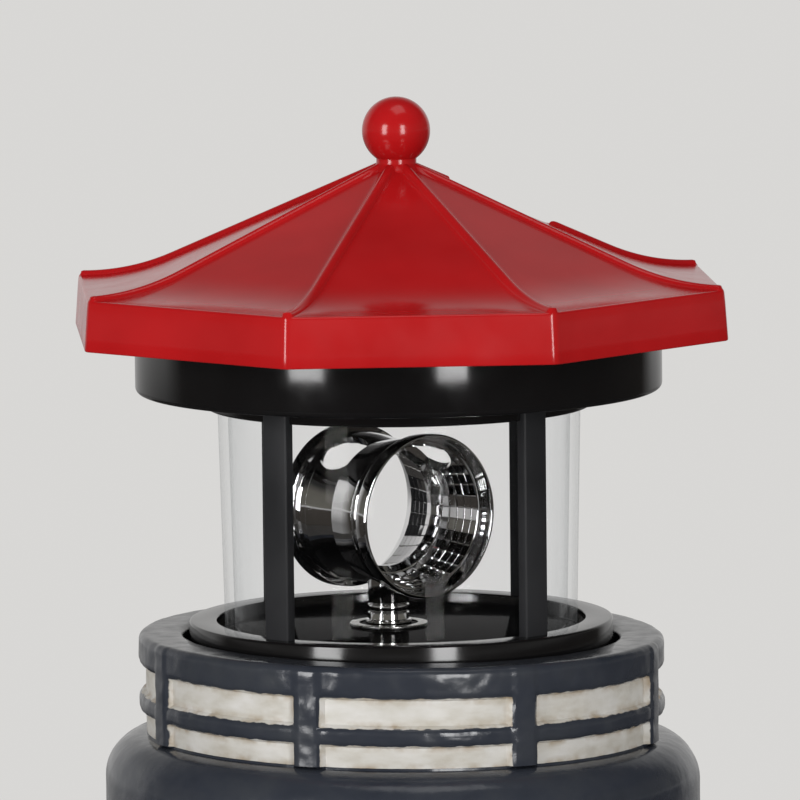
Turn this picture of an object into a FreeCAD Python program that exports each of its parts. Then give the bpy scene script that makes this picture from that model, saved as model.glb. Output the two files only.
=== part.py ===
import FreeCAD, Part
import math
import os

from FreeCAD import Placement, Rotation, Vector

# A solar garden lighthouse, in millimetres. Z is up and the origin is the centre of the base.
# Angles named "heading" are seen from above: 0 looks out of the front (-Y), 90 looks out of +X.

# --- Tower, one hollow resin casting ---
tower_height = 248.5            # ground to the top of the gallery parapet
base_radius = 68.0
base_height = 14.0
base_step_radius = 62.5
base_step_height = 10.0
base_edge_round = 2.5
wall_foot_radius = 57.5         # tapered wall where it leaves the base
wall_top_radius = 47.5
wall_top_drop = 58.5            # the wall's top below the parapet's top
ledge_radius = 59.5
ledge_underside_drop = 39.5     # these drops are all measured down from the parapet's top
ledge_shoulder_drop = 29.0      # the shoulder starts to round over here
gallery_foot_drop = 20.3        # the shoulder meets the gallery wall here
gallery_wall = 7.6              # from the well to the wall behind the rails and posts
rail_rise = 1.4                 # rails in front of that wall
rail_round = 1.6
mid_rail_bottom_drop = 15.7
mid_rail_top_drop = 11.6
top_rail_bottom_drop = 6.4
gallery_post_headings = (-69.5, -24.9, 23.3, 69.0, 113.0, 158.0, -158.0, -113.0)
gallery_post_width = 6.2
gallery_post_depth = 3.0
gallery_post_proud = 0.25       # post's face in front of the rails
gallery_post_drop = 1.9
casting_wall = 6.5
casting_floor = 8.0
well_floor_thickness = 7.0
vent_radius = 4.0
storeys = 3
band_height = 14.0              # raised bands between the storeys
band_rise = 0.9
door_width = 25.0
door_height = 36.0
door_frame = 4.0
door_proud = 3.0                # frame in front of the wall at the sill
door_recess = 2.0
step_reach = 6.0                # how far the lower door step stands out in front of the upper base
step_tread = 5.0
step_height = 5.0
step_side = 4.0                 # lower step beside the door frame
step_inset = 2.0                # upper step's ends inside the lower step's
window_width = 11.0
window_height = 19.0
window_frame = 2.6
window_proud = 2.2
window_recess = 1.6
window_sill_share = 0.42        # sill's height in its storey
window_places = ((0.0, 1), (100.0, 0), (180.0, 1), (-100.0, 0), (60.0, 2),
                 (-60.0, 2), (180.0, 2))   # heading and storey

# --- Well in the tower's top, which holds the lantern ---
well_clearance = 1.2
well_depth = 44.0
well_edge_round = 1.2

# --- Lantern: deck and mechanism case ---
deck_rise = 3.0                 # top of the deck above the parapet
deck_radius = 42.4
deck_edge_round = 0.5
floor_drop = 1.5                # inner floor below the deck ring
deck_thickness = 5.5
skirt_height = 11.5
skirt_wall = 1.9
skirt_clearance = 0.1
case_wall = 1.5
case_floor = 2.5
case_foot_ring = 3.0            # the case's floor stands this far above the ring it rests on

# --- Lantern: clear sleeve and posts ---
sleeve_set_in = 7.2             # the sleeve's foot inside the deck's edge
sleeve_flare = 1.1              # the sleeve's top is this much wider than its foot
sleeve_wall = 2.0
sleeve_play = 0.15
groove_depth = 3.0
groove_outer_play = 1.7         # the dark gap round the foot of the sleeve
lantern_opening = 46.0          # deck ring to the underside of the drum
post_width = 5.8
post_thickness = 2.4
post_gap = 1.0                  # between the sleeve's top and a post
post_headings = (-42.2, 38.6, 135.3, -143.3)
post_names = ("front_left_post", "front_right_post", "rear_right_post", "rear_left_post")
post_foot_tenon = 3.0
post_head_tenon = 1.5
seat_play = 0.05

# --- Roof base: the drum and its collar ---
drum_overhang = 14.1            # drum beyond its collar
drum_floor = 2.5
drum_wall = 2.2
drum_height = 14.0
drum_edge_round = 1.2
collar_lip = 2.2                # collar beyond the sleeve's top
collar_drop = 3.3

# --- Roof shell ---
fascia_rise = 11.3              # fascia's lower edge above the drum's underside
fascia_height = 10.0
eave_apothem = 62.8
fascia_draft = 0.7              # how far the fascia leans out over its height
roof_slope = 25.0               # degrees, on the middle of a facet
flare_run = 18.5                # the facet curves out to level over this run
roof_wall = 2.0
fascia_corner_round = 2.2
roof_sides = 8
rib_radius = 1.15
rib_proud = 0.9
rib_inset = 1.3                 # rib's end short of the eave corner
neck_radius = 4.0
ball_radius = 6.8
ball_rise = 30.4                # ball's centre above the eave
boss_radius = 3.5
boss_set_out = 5.5              # the bosses' middles beyond the collar
boss_headings = (0.0, 90.0, 180.0, 270.0)
boss_pilot_depth = 10.0

# --- Solar panel in its recess ---
panel_heading = 135.0
panel_width = 27.0
panel_length = 38.0
panel_thickness = 2.0
panel_play = 0.4
panel_recess = 3.2              # panel's face below the facet
panel_upper_apothem = 10.4      # the recess starts this far out from the axis
panel_seat = 1.6                # plastic under the panel

# --- Beacon ---
shaft_offset = -2.5             # the shaft stands this far to the left of the lantern's axis
shaft_radius = 4.1
shaft_bore_radius = 3.0
shaft_foot_radius = 4.6
shaft_foot_height = 0.9
shaft_groove_depth = 0.35
shaft_groove_width = 0.5
shaft_groove_heights = (2.2, 3.8)
beam_rise = 21.6                # beam's axis above the deck ring
beam_heading = 34.1
cup_length = 13.7
cup_rim_radius = 16.5
cup_waist_radius = 14.2
cup_body_radius = 15.2
cup_throat_radius = 11.2
cup_mouth_radius = 14.6         # where the mirrored cells end
cup_mouth_depth = 3.0           # smooth flared band between the cells and the rim
cup_mouth_flare = 1.2
cup_lip_width = 3.3
cup_groove_width = 2.8
cup_groove_depth = 0.7
cup_rows = 6
cup_window_radius = 5.0
cup_window_offset = 4.0         # window's middle from the waist
cup_window_angle = 33.0         # window's middle from the top, on one side of each cup
bush_flange_radius = 7.8
bush_flange_height = 0.45
bush_recess_radius = 5.9
bush_recess_depth = 0.2
bush_radius = 5.2
bush_play = 0.05
boss_rise = 0.15                # shaft boss above the inner floor

# --- Lamp ---
lamp_radius = 2.45
lamp_length = 8.6
lamp_below_beam = 11.2          # top of the lamp's dome below the beam's axis
stem_radius = 2.2
stem_bore_radius = 1.3
stem_flange_radius = 4.0
stem_flange_height = 2.0

# --- Gear train ---
gear_module = 0.5
drive_gear_teeth = 60
idler_pinion_teeth = 12
idler_wheel_teeth = 48
motor_pinion_teeth = 12
gear_backlash = 0.10
gear_play = 0.1                 # end play between stacked gears and plates
drive_gear_width = 3.0
drive_gear_hub_radius = 6.5
idler_wheel_width = 2.5
motor_pinion_width = 3.2
idler_heading = 90.0            # from the shaft to the idler
motor_turn = 90.0               # from the idler's line to the motor's line
idler_axle_radius = 1.0
idler_boss_radius = 2.6
axle_play = 0.05
gear_plate_radius = 25.3
gear_plate_thickness = 2.0
gear_plate_centre = (6.0, 5.0)
gear_room = 12.0                # gear plate's top face below the deck
standoff_radius = 2.2
standoff_circle_radius = 22.5
standoff_angles = (12.0, 120.0, 262.0)
motor_radius = 10.0
motor_length = 18.0
motor_boss_radius = 3.0
motor_boss_height = 1.5
motor_shaft_radius = 0.75
motor_screw_spacing = 12.0

# --- Power ---
cell_radius = 7.1
cell_length = 49.0
cell_tip_radius = 2.7
cell_tip_length = 1.2
cell_rise = 0.6                 # cell above the case's floor
cell_play = 0.3
holder_wall = 1.2
holder_drop = 2.8               # the holder's rim below the cell's top
holder_gap = 0.95               # the holder's far corners to the case's wall
contact_thickness = 0.4
spring_wire = 0.5
spring_radius = 3.0
spring_turns = 3
spring_room = 4.4
door_rebate = 1.2               # the door rests on a ledge this wide
door_panel_play = 0.2
door_panel_thickness = 1.8
board_size = (20.0, 18.0)
board_set_in = 15.5             # board's middle from the case's wall
board_angle = 140.2
board_thickness = 1.6
switch_size = (8.6, 4.4, 3.6)
switch_travel = 2.0
knob_size = (2.4, 2.0)
knob_reach = 2.0                # knob's tip below the case's floor
knob_play = 0.15

# --- Fasteners and leads ---
screw_radius = 1.2
screw_head_radius = 2.2
screw_head_height = 1.4
screw_play = 0.05
small_screw_radius = 0.8
small_screw_head_radius = 1.5
small_screw_head_height = 0.9
screw_slot = 0.6
case_screw_grip = 9.0
case_pilot_depth = 12.0
plate_screw_grip = 5.0
plate_pilot_depth = 6.0
motor_screw_grip = 2.5
roof_screw_grip = 7.0
door_tab_thickness = 1.2
door_screw_length = 6.0
pillar_radius = 2.8
pillar_set_in = 3.2             # pillars' middles from the case's wall
pillar_angles = (90.0, -60.0, -120.0)
pillar_gap = 0.5                # gear plate clear of the pillars
lead_radius = 0.6
lead_hole_play = 0.2
panel_lead_run = 6.0            # the panel's lead above the drum's floor
lamp_lead_drop = 7.0            # the lamp's lead bends this far below its stem
motor_lead_rise = 5.0
motor_lead_run = 6.0
battery_lead_rise = 1.6
chip_size = (5.0, 3.0, 1.5)
coil_radius = 1.8
coil_height = 4.5

# --- Places that follow from the sizes above ---
wall_top_z = tower_height - wall_top_drop
ledge_underside_z = tower_height - ledge_underside_drop
ledge_shoulder_z = tower_height - ledge_shoulder_drop
gallery_foot_z = tower_height - gallery_foot_drop
mid_rail_bottom_z = tower_height - mid_rail_bottom_drop
mid_rail_top_z = tower_height - mid_rail_top_drop
top_rail_bottom_z = tower_height - top_rail_bottom_drop
wall_foot_z = base_height + base_step_height
storey_height = (wall_top_z - wall_foot_z) / storeys
well_radius = deck_radius + well_clearance
inset_radius = well_radius + gallery_wall
rail_radius = inset_radius + rail_rise
sleeve_foot_radius = deck_radius - sleeve_set_in
sleeve_top_radius = sleeve_foot_radius + sleeve_flare
collar_radius = sleeve_top_radius + collar_lip
drum_radius = collar_radius + drum_overhang
boss_circle_radius = collar_radius + boss_set_out
well_floor_z = tower_height - well_depth
deck_top_z = tower_height + deck_rise
floor_z = deck_top_z - floor_drop
deck_under_z = deck_top_z - deck_thickness
skirt_inner_radius = deck_radius - skirt_wall
case_radius = skirt_inner_radius - skirt_clearance
case_inner_radius = case_radius - case_wall
case_floor_z = well_floor_z + case_foot_ring
case_inside_z = case_floor_z + case_floor
pillar_circle_radius = case_inner_radius - pillar_set_in
board_radius = case_inner_radius - board_set_in
board_centre = (board_radius * math.cos(math.radians(board_angle)),
                board_radius * math.sin(math.radians(board_angle)))
holder_height = 2 * cell_radius + cell_rise - holder_drop
holder_half_width = cell_radius + cell_play + holder_wall
holder_half_length = (cell_length + cell_tip_length + spring_room) / 2 + contact_thickness + holder_wall
cell_y = holder_half_width - math.sqrt((case_inner_radius - holder_gap) ** 2 - holder_half_length ** 2)
cell_start_x = -holder_half_length + holder_wall + contact_thickness + spring_room - seat_play
drum_under_z = deck_top_z + lantern_opening
drum_floor_top_z = drum_under_z + drum_floor
collar_under_z = drum_under_z - collar_drop
fascia_z = drum_under_z + fascia_rise
eave_z = fascia_z + fascia_height
ball_z = eave_z + ball_rise
slope_rise = math.tan(math.radians(roof_slope))
flare_rise = flare_run * math.tan(math.radians(roof_slope / 2))
flare_apothem = eave_apothem - flare_run
half_side = math.radians(180.0 / roof_sides)
corner_factor = 1 / math.cos(half_side)
post_radius = sleeve_top_radius + post_gap + post_thickness / 2
groove_inner_radius = sleeve_foot_radius - sleeve_wall - sleeve_play
groove_outer_radius = sleeve_foot_radius + groove_outer_play
beam_z = deck_top_z + beam_rise
shaft_centre = Vector(shaft_offset, 0, 0)
boss_top_z = floor_z + boss_rise
bush_top_z = boss_top_z + bush_flange_height
shaft_foot_z = bush_top_z - bush_recess_depth + seat_play
plate_top_z = deck_under_z - gear_room
plate_under_z = plate_top_z - gear_plate_thickness
drive_radius = gear_module * drive_gear_teeth / 2
idler_wheel_radius = gear_module * idler_wheel_teeth / 2
idler_pinion_radius = gear_module * idler_pinion_teeth / 2
motor_pinion_radius = gear_module * motor_pinion_teeth / 2
idler_boss_height = 1.4
idler_under_z = plate_top_z + idler_boss_height + gear_play
idler_pinion_z = idler_under_z + idler_wheel_width
drive_gear_z = idler_pinion_z + 1.0
idler_top_z = drive_gear_z + drive_gear_width + 1.0
lamp_top_z = beam_z - lamp_below_beam
lamp_foot_z = lamp_top_z - lamp_length
wire_hole_radius = lead_radius + lead_hole_play


def heading_vector(heading):
    angle = math.radians(heading)
    return Vector(math.sin(angle), -math.cos(angle), 0)


idler_centre = shaft_centre + heading_vector(idler_heading) * (drive_radius + idler_pinion_radius)
motor_centre = idler_centre + heading_vector(idler_heading + motor_turn) * (
    idler_wheel_radius + motor_pinion_radius)


def cylinder(radius, low_z, high_z, centre=Vector(0, 0, 0)):
    return Part.makeCylinder(radius, high_z - low_z, Vector(centre.x, centre.y, low_z))


def ring(outer_radius, inner_radius, low_z, high_z, centre=Vector(0, 0, 0)):
    return cylinder(outer_radius, low_z, high_z, centre).cut(
        cylinder(inner_radius, low_z - 1, high_z + 1, centre))


def block(low, high):
    size = [high[axis] - low[axis] for axis in range(3)]
    return Part.makeBox(size[0], size[1], size[2], Vector(low[0], low[1], low[2]))


def turned(shape, heading):
    copy = shape.copy()
    copy.rotate(Vector(0, 0, 0), Vector(0, 0, 1), heading)
    return copy


def at_heading(shape, heading):
    # Shapes for this are drawn at the front, where they face -Y.
    return turned(shape, heading)


def revolved(points):
    # points are (radius, height) pairs or ("arc", middle, end) entries, starting and ending anywhere.
    edges = []
    here = points[0]
    for entry in list(points[1:]) + [points[0]]:
        start = Vector(here[0], 0, here[1])
        if entry[0] == "arc":
            middle = Vector(entry[1][0], 0, entry[1][1])
            end = Vector(entry[2][0], 0, entry[2][1])
            edges.append(Part.Arc(start, middle, end).toShape())
            here = entry[2]
        else:
            end = Vector(entry[0], 0, entry[1])
            edges.append(Part.LineSegment(start, end).toShape())
            here = entry
    face = Part.Face(Part.Wire(edges))
    return face.revolve(Vector(0, 0, 0), Vector(0, 0, 1), 360)


def fused(shapes):
    result = shapes[0]
    if len(shapes) > 1:
        result = result.multiFuse(shapes[1:])
    return result.removeSplitter()


def group(shapes):
    return Part.makeCompound(shapes)


def tube_along(points, radius, bend):
    # Straight runs joined by tangent arcs; each arc is as large as bend and its two runs allow.
    edges = []
    here = points[0]
    for number in range(1, len(points) - 1):
        corner = points[number]
        into = (corner - points[number - 1]).normalize()
        out = (points[number + 1] - corner).normalize()
        turn = into.getAngle(out)
        shorter = min((corner - points[number - 1]).Length, (points[number + 1] - corner).Length)
        size = min(bend, 0.45 * shorter / math.tan(turn / 2))
        setback = size * math.tan(turn / 2)
        start = corner - into * setback
        end = corner + out * setback
        inward = (out - into).normalize()
        centre = corner + inward * (size / math.cos(turn / 2))
        middle = centre - inward * size
        edges.append(Part.LineSegment(here, start).toShape())
        edges.append(Part.Arc(start, middle, end).toShape())
        here = end
    edges.append(Part.LineSegment(here, points[-1]).toShape())
    path = Part.Wire(edges)
    first = (points[1] - points[0]).normalize()
    section = Part.Wire([Part.makeCircle(radius, points[0], first)])
    return path.makePipeShell([section], True, False)


def screw(radius, head_radius, head_height, length):
    # Head at the origin's underside, thread pointing up.
    head = cylinder(head_radius, -head_height, 0)
    slot = block((-head_radius, -screw_slot / 2, -head_height),
                 (head_radius, screw_slot / 2, -head_height / 2))
    return head.cut(slot).fuse(cylinder(radius, 0, length)).removeSplitter()


def placed(shape, x, y, z):
    copy = shape.copy()
    copy.translate(Vector(x, y, z))
    return copy


# --- Tower ---

def wall_radius_at(height):
    share = (height - wall_foot_z) / (wall_top_z - wall_foot_z)
    return wall_foot_radius + (wall_top_radius - wall_foot_radius) * share


def arched(width, height, sill_z, near_y, far_y):
    # A round-headed prism from y = near_y back to y = far_y.
    half = width / 2
    spring_z = sill_z + height - half
    outline = Part.Wire([
        Part.LineSegment(Vector(-half, near_y, sill_z), Vector(half, near_y, sill_z)).toShape(),
        Part.LineSegment(Vector(half, near_y, sill_z), Vector(half, near_y, spring_z)).toShape(),
        Part.Arc(Vector(half, near_y, spring_z), Vector(0, near_y, sill_z + height),
                 Vector(-half, near_y, spring_z)).toShape(),
        Part.LineSegment(Vector(-half, near_y, spring_z), Vector(-half, near_y, sill_z)).toShape()])
    return Part.Face(outline).extrude(Vector(0, far_y - near_y, 0))


def tower_outline():
    step_z = wall_foot_z
    half_root = math.sqrt(0.5)
    cove_run = ledge_radius - wall_top_radius
    cove_rise = ledge_underside_z - wall_top_z
    shoulder_run = ledge_radius - inset_radius
    shoulder_rise = gallery_foot_z - ledge_shoulder_z
    return revolved([
        (0, 0), (base_radius, 0), (base_radius, base_height - base_edge_round),
        ("arc", (base_radius - base_edge_round * (1 - half_root),
                 base_height - base_edge_round * (1 - half_root)),
         (base_radius - base_edge_round, base_height)),
        (base_step_radius, base_height), (base_step_radius, step_z - base_edge_round),
        ("arc", (base_step_radius - base_edge_round * (1 - half_root),
                 step_z - base_edge_round * (1 - half_root)),
         (base_step_radius - base_edge_round, step_z)),
        (wall_foot_radius, step_z), (wall_top_radius, wall_top_z),
        ("arc", (wall_top_radius + cove_run * (1 - half_root), wall_top_z + cove_rise * half_root),
         (ledge_radius, ledge_underside_z)),
        (ledge_radius, ledge_shoulder_z),
        ("arc", (inset_radius + shoulder_run * half_root, ledge_shoulder_z + shoulder_rise * half_root),
         (inset_radius, gallery_foot_z)),
        (inset_radius, tower_height), (0, tower_height)])


def rail(low_z, high_z, round_low, round_high):
    inner = inset_radius - 2
    body = revolved([(inner, low_z), (rail_radius, low_z), (rail_radius, high_z), (inner, high_z)])
    edges = []
    for edge in body.Edges:
        outside = abs(edge.BoundBox.XMax - rail_radius) < 0.01 and edge.BoundBox.ZLength < 0.01
        at_top = outside and abs(edge.BoundBox.ZMax - high_z) < 0.01
        at_foot = outside and abs(edge.BoundBox.ZMax - low_z) < 0.01
        if (at_top and round_high) or (at_foot and round_low):
            edges.append(edge)
    return body.makeFillet(min(rail_round, 0.45 * (high_z - low_z)), edges) if edges else body


def tower_casting():
    foot_z = wall_foot_z
    adds = [tower_outline(), rail(mid_rail_bottom_z, mid_rail_top_z, True, True),
            rail(top_rail_bottom_z, tower_height, True, True)]
    post_face = cylinder(rail_radius + gallery_post_proud, gallery_foot_z - 3, tower_height)
    for heading in gallery_post_headings:
        post = block((-gallery_post_width / 2, -rail_radius - 1, gallery_foot_z - 2),
                     (gallery_post_width / 2, -rail_radius + gallery_post_depth,
                      tower_height - gallery_post_drop))
        adds.append(at_heading(post.common(post_face), heading))
    for number in range(1, storeys):
        low = foot_z + number * storey_height - band_height / 2
        high = low + band_height
        adds.append(revolved([(wall_top_radius - casting_wall, low), (wall_radius_at(low) + band_rise, low),
                              (wall_radius_at(high) + band_rise, high),
                              (wall_top_radius - casting_wall, high)]))
    door_front = -(wall_radius_at(foot_z) + door_proud)
    inner_y = -(wall_top_radius - casting_wall)
    adds.append(arched(door_width + 2 * door_frame, door_height + door_frame, foot_z, door_front, inner_y))
    step_cut = cylinder(base_radius - base_edge_round, base_height - 2, foot_z + 1)
    for number in range(2):
        reach = step_reach - number * step_tread
        low = base_height - 1
        high = base_height + (number + 1) * step_height
        half = door_width / 2 + door_frame + step_side - step_inset * number
        adds.append(block((-half, -base_step_radius - reach, low), (half, inner_y, high)).common(step_cut))
    cuts = [at_heading(arched(door_width, door_height, foot_z, door_front - 1, door_front + door_recess), 0)]
    for heading, storey in window_places:
        sill = foot_z + (storey + window_sill_share) * storey_height
        front = -(wall_radius_at(sill) + window_proud)
        frame = arched(window_width + 2 * window_frame, window_height + 2 * window_frame,
                       sill - window_frame, front, inner_y)
        adds.append(at_heading(frame, heading))
        cuts.append(at_heading(arched(window_width, window_height, sill, front - 1,
                                      front + window_recess), heading))
    cavity_top_z = well_floor_z - well_floor_thickness
    cavity = revolved([
        (0, casting_floor), (wall_foot_radius - casting_wall, casting_floor),
        (wall_foot_radius - casting_wall, foot_z), (wall_top_radius - casting_wall, wall_top_z),
        (wall_top_radius - casting_wall, cavity_top_z), (0, cavity_top_z)])
    cuts.append(cavity)
    cuts.append(cylinder(vent_radius, -1, casting_floor + 1))
    well = revolved([
        (0, well_floor_z), (well_radius, well_floor_z), (well_radius, tower_height - well_edge_round),
        ("arc", (well_radius + well_edge_round * (1 - math.sqrt(0.5)),
                 tower_height - well_edge_round * (1 - math.sqrt(0.5))),
         (well_radius + well_edge_round, tower_height)),
        (well_radius + well_edge_round, tower_height + 1), (0, tower_height + 1)])
    cuts.append(well)
    return fused(adds).cut(cuts).removeSplitter()


# --- Lantern frame ---

def post_blank(low_z, high_z, play):
    return block((-post_width / 2 - play, -post_radius - post_thickness / 2 - play, low_z),
                 (post_width / 2 + play, -post_radius + post_thickness / 2 + play, high_z))


def lead_channel_centre():
    inner_face = post_radius - post_thickness / 2
    return heading_vector(post_headings[3]) * (inner_face + wire_hole_radius)


def lantern_post(heading):
    bar = post_blank(deck_top_z - post_foot_tenon + seat_play, drum_under_z + post_head_tenon - seat_play, 0)
    return at_heading(bar, heading)


def grooved_post(heading):
    centre = lead_channel_centre()
    low_z = deck_top_z - post_foot_tenon - 1
    high_z = drum_under_z + post_head_tenon + 1
    groove = block((-wire_hole_radius, -post_radius + post_thickness / 2 - 2 * wire_hole_radius, low_z),
                   (wire_hole_radius, -post_radius + post_thickness, high_z))
    bar = lantern_post(heading).cut(at_heading(groove, heading))
    return bar.cut(cylinder(wire_hole_radius, low_z, high_z, centre))


def deck_plate():
    body = revolved([
        (0, deck_under_z), (skirt_inner_radius, deck_under_z),
        (skirt_inner_radius, deck_top_z - skirt_height), (deck_radius, deck_top_z - skirt_height),
        (deck_radius, deck_top_z - deck_edge_round),
        ("arc", (deck_radius - deck_edge_round * (1 - math.sqrt(0.5)),
                 deck_top_z - deck_edge_round * (1 - math.sqrt(0.5))),
         (deck_radius - deck_edge_round, deck_top_z)),
        (groove_outer_radius, deck_top_z), (groove_outer_radius, deck_top_z - groove_depth),
        (groove_inner_radius, deck_top_z - groove_depth), (groove_inner_radius, floor_z), (0, floor_z)])
    adds = [body, cylinder(bush_flange_radius + 0.4, floor_z - 1, boss_top_z, shaft_centre)]
    for angle in pillar_angles:
        centre = polar(pillar_circle_radius, angle)
        adds.append(cylinder(pillar_radius, case_inside_z, deck_under_z + 1, centre))
    for angle in standoff_angles:
        adds.append(cylinder(standoff_radius, plate_top_z, deck_under_z + 1, standoff_centre(angle)))
    adds.append(cylinder(idler_boss_radius, idler_top_z + gear_play, deck_under_z + 1, idler_centre))
    cuts = [cylinder(bush_radius + bush_play, deck_under_z - 1, boss_top_z + 1, shaft_centre)]
    cuts.append(cylinder(idler_axle_radius + 0.01, idler_top_z - 1, idler_top_z + 1.7, idler_centre))
    for heading in post_headings:
        pocket = post_blank(deck_top_z - post_foot_tenon, deck_top_z + 1, seat_play)
        cuts.append(at_heading(pocket, heading))
    for angle in pillar_angles:
        centre = polar(pillar_circle_radius, angle)
        cuts.append(cylinder(screw_radius + screw_play, case_inside_z - 1,
                             case_inside_z + case_pilot_depth, centre))
    for angle in standoff_angles:
        centre = standoff_centre(angle)
        cuts.append(cylinder(small_screw_radius + screw_play, plate_top_z - 1,
                             plate_top_z + plate_pilot_depth, centre))
    cuts.append(cylinder(wire_hole_radius, deck_under_z - 1, deck_top_z, lead_channel_centre()))
    return fused(adds).cut(cuts)


def polar(radius, angle):
    return Vector(radius * math.cos(math.radians(angle)), radius * math.sin(math.radians(angle)), 0)


def standoff_centre(angle):
    return Vector(gear_plate_centre[0], gear_plate_centre[1], 0) + polar(standoff_circle_radius, angle)


def mechanism_case():
    body = cylinder(case_radius, well_floor_z, deck_under_z)
    body = body.cut(cylinder(case_inner_radius, case_inside_z, deck_under_z + 1))
    body = body.cut(cylinder(case_inner_radius, well_floor_z - 1, case_floor_z))
    cuts = [door_blank(case_floor_z - 1, case_inside_z + 1, -door_rebate)]
    cuts.append(door_blank(case_floor_z - 1, case_floor_z + door_panel_thickness, door_panel_play))
    for angle in pillar_angles:
        cuts.append(cylinder(screw_radius + 0.2, case_floor_z - 1, case_inside_z + 1,
                             polar(pillar_circle_radius, angle)))
    slot_length = knob_size[0] + switch_travel + 2 * knob_play
    centre = switch_centre()
    low = (centre.x - knob_size[0] / 2 - knob_play, centre.y - knob_size[1] / 2 - knob_play,
           case_floor_z - 1)
    cuts.append(block(low, (low[0] + slot_length, centre.y + knob_size[1] / 2 + knob_play,
                            case_inside_z + 1)))
    screw_place = door_screw_centre()
    lug = block((-4, cell_y, case_inside_z), (4, screw_place.y + screw_radius + 0.7, case_inside_z + 4))
    cuts.append(cylinder(screw_radius + screw_play, case_floor_z - 1, case_inside_z + 5, screw_place))
    lug = lug.cut(block((-5, cell_y - 10, case_inside_z - 1),
                        (5, cell_y + holder_half_width + 0.1, case_inside_z + 10)))
    return body.fuse(lug).cut(cuts).removeSplitter()


def door_screw_centre():
    return Vector(0, cell_y + holder_half_width + 0.1 + screw_radius + 1.0, 0)


def door_blank(low_z, high_z, grow):
    # The door is as large as the holder's outside, so the cell passes where its ledge ends.
    half_length = holder_half_length + grow
    half_width = holder_half_width + grow
    return block((-half_length, cell_y - half_width, low_z), (half_length, cell_y + half_width, high_z))


def battery_door():
    panel = door_blank(case_floor_z, case_floor_z + door_panel_thickness, 0)
    place = door_screw_centre()
    tab = block((-4, cell_y + holder_half_width - 2, case_floor_z - door_tab_thickness),
                (4, place.y + 3, case_floor_z))
    body = panel.fuse(tab)
    return body.cut(cylinder(screw_radius + 0.2, case_floor_z - 3, case_floor_z + 1, place)).removeSplitter()


def battery_holder():
    top_z = case_inside_z + holder_height
    inner_length = holder_half_length - holder_wall
    inner_width = holder_half_width - holder_wall
    body = block((-holder_half_length, cell_y - holder_half_width, case_inside_z),
                 (holder_half_length, cell_y + holder_half_width, top_z))
    return body.cut(block((-inner_length, cell_y - inner_width, case_inside_z - 1),
                          (inner_length, cell_y + inner_width, top_z + 1)))


def cell_centre_z():
    return case_inside_z + cell_radius + cell_rise


def battery_cell():
    start = cell_start_x
    centre = Vector(start, cell_y, cell_centre_z())
    can = Part.makeCylinder(cell_radius, cell_length, centre, Vector(1, 0, 0))
    tip = Part.makeCylinder(cell_tip_radius, cell_tip_length + 0.5,
                            Vector(start + cell_length - 0.5, cell_y, cell_centre_z()), Vector(1, 0, 0))
    return can.fuse(tip).removeSplitter()


def contact_tab(side):
    inner_x = holder_half_length - holder_wall
    low_x = inner_x - contact_thickness if side > 0 else -inner_x
    return block((low_x, cell_y - 4.5, case_inside_z + 1),
                 (low_x + contact_thickness, cell_y + 4.5, case_inside_z + holder_height + 3))


def battery_contact():
    return contact_tab(1)


def battery_spring():
    plate = contact_tab(-1)
    start_x = -holder_half_length + holder_wall + contact_thickness
    pitch = (cell_start_x - start_x - spring_wire) / spring_turns
    helix = Part.makeHelix(pitch, pitch * spring_turns, spring_radius)
    start = Vector(spring_radius, 0, 0)
    section = Part.Wire([Part.makeCircle(spring_wire / 2, start, Vector(0, 1, 0))])
    coil = Part.Wire(helix).makePipeShell([section], True, True)
    coil.rotate(Vector(0, 0, 0), Vector(0, 1, 0), 90)
    coil.translate(Vector(start_x + spring_wire / 2 - 0.1, cell_y, cell_centre_z()))
    return plate.fuse(coil)


def switch_centre():
    return Vector(board_centre[0], board_centre[1], 0)


def circuit_board():
    low_z = case_inside_z + switch_size[2]
    board = block((board_centre[0] - board_size[0] / 2, board_centre[1] - board_size[1] / 2, low_z),
                  (board_centre[0] + board_size[0] / 2, board_centre[1] + board_size[1] / 2,
                   low_z + board_thickness))
    top_z = low_z + board_thickness
    chip = block((board_centre[0] - chip_size[0] / 2, board_centre[1] - chip_size[1] / 2, top_z - 0.1),
                 (board_centre[0] + chip_size[0] / 2, board_centre[1] + chip_size[1] / 2,
                  top_z + chip_size[2]))
    coil = cylinder(coil_radius, top_z - 0.1, top_z + coil_height,
                    Vector(board_centre[0] + 6, board_centre[1] - 6, 0))
    return fused([board, chip, coil])


def switch_body():
    centre = switch_centre()
    body = block((centre.x - switch_size[0] / 2, centre.y - switch_size[1] / 2, case_inside_z),
                 (centre.x + switch_size[0] / 2, centre.y + switch_size[1] / 2,
                  case_inside_z + switch_size[2]))
    slot = block((centre.x - knob_size[0] / 2 - knob_play, centre.y - knob_size[1] / 2 - knob_play,
                  case_inside_z - 1),
                 (centre.x + knob_size[0] / 2 + switch_travel + knob_play,
                  centre.y + knob_size[1] / 2 + knob_play, case_inside_z + switch_size[2] - 0.8))
    return body.cut(slot)


def switch_knob():
    centre = switch_centre()
    return block((centre.x - knob_size[0] / 2, centre.y - knob_size[1] / 2, case_floor_z - knob_reach),
                 (centre.x + knob_size[0] / 2, centre.y + knob_size[1] / 2,
                  case_inside_z + switch_size[2] - 0.8 - knob_play))


# --- Gear train ---

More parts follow.
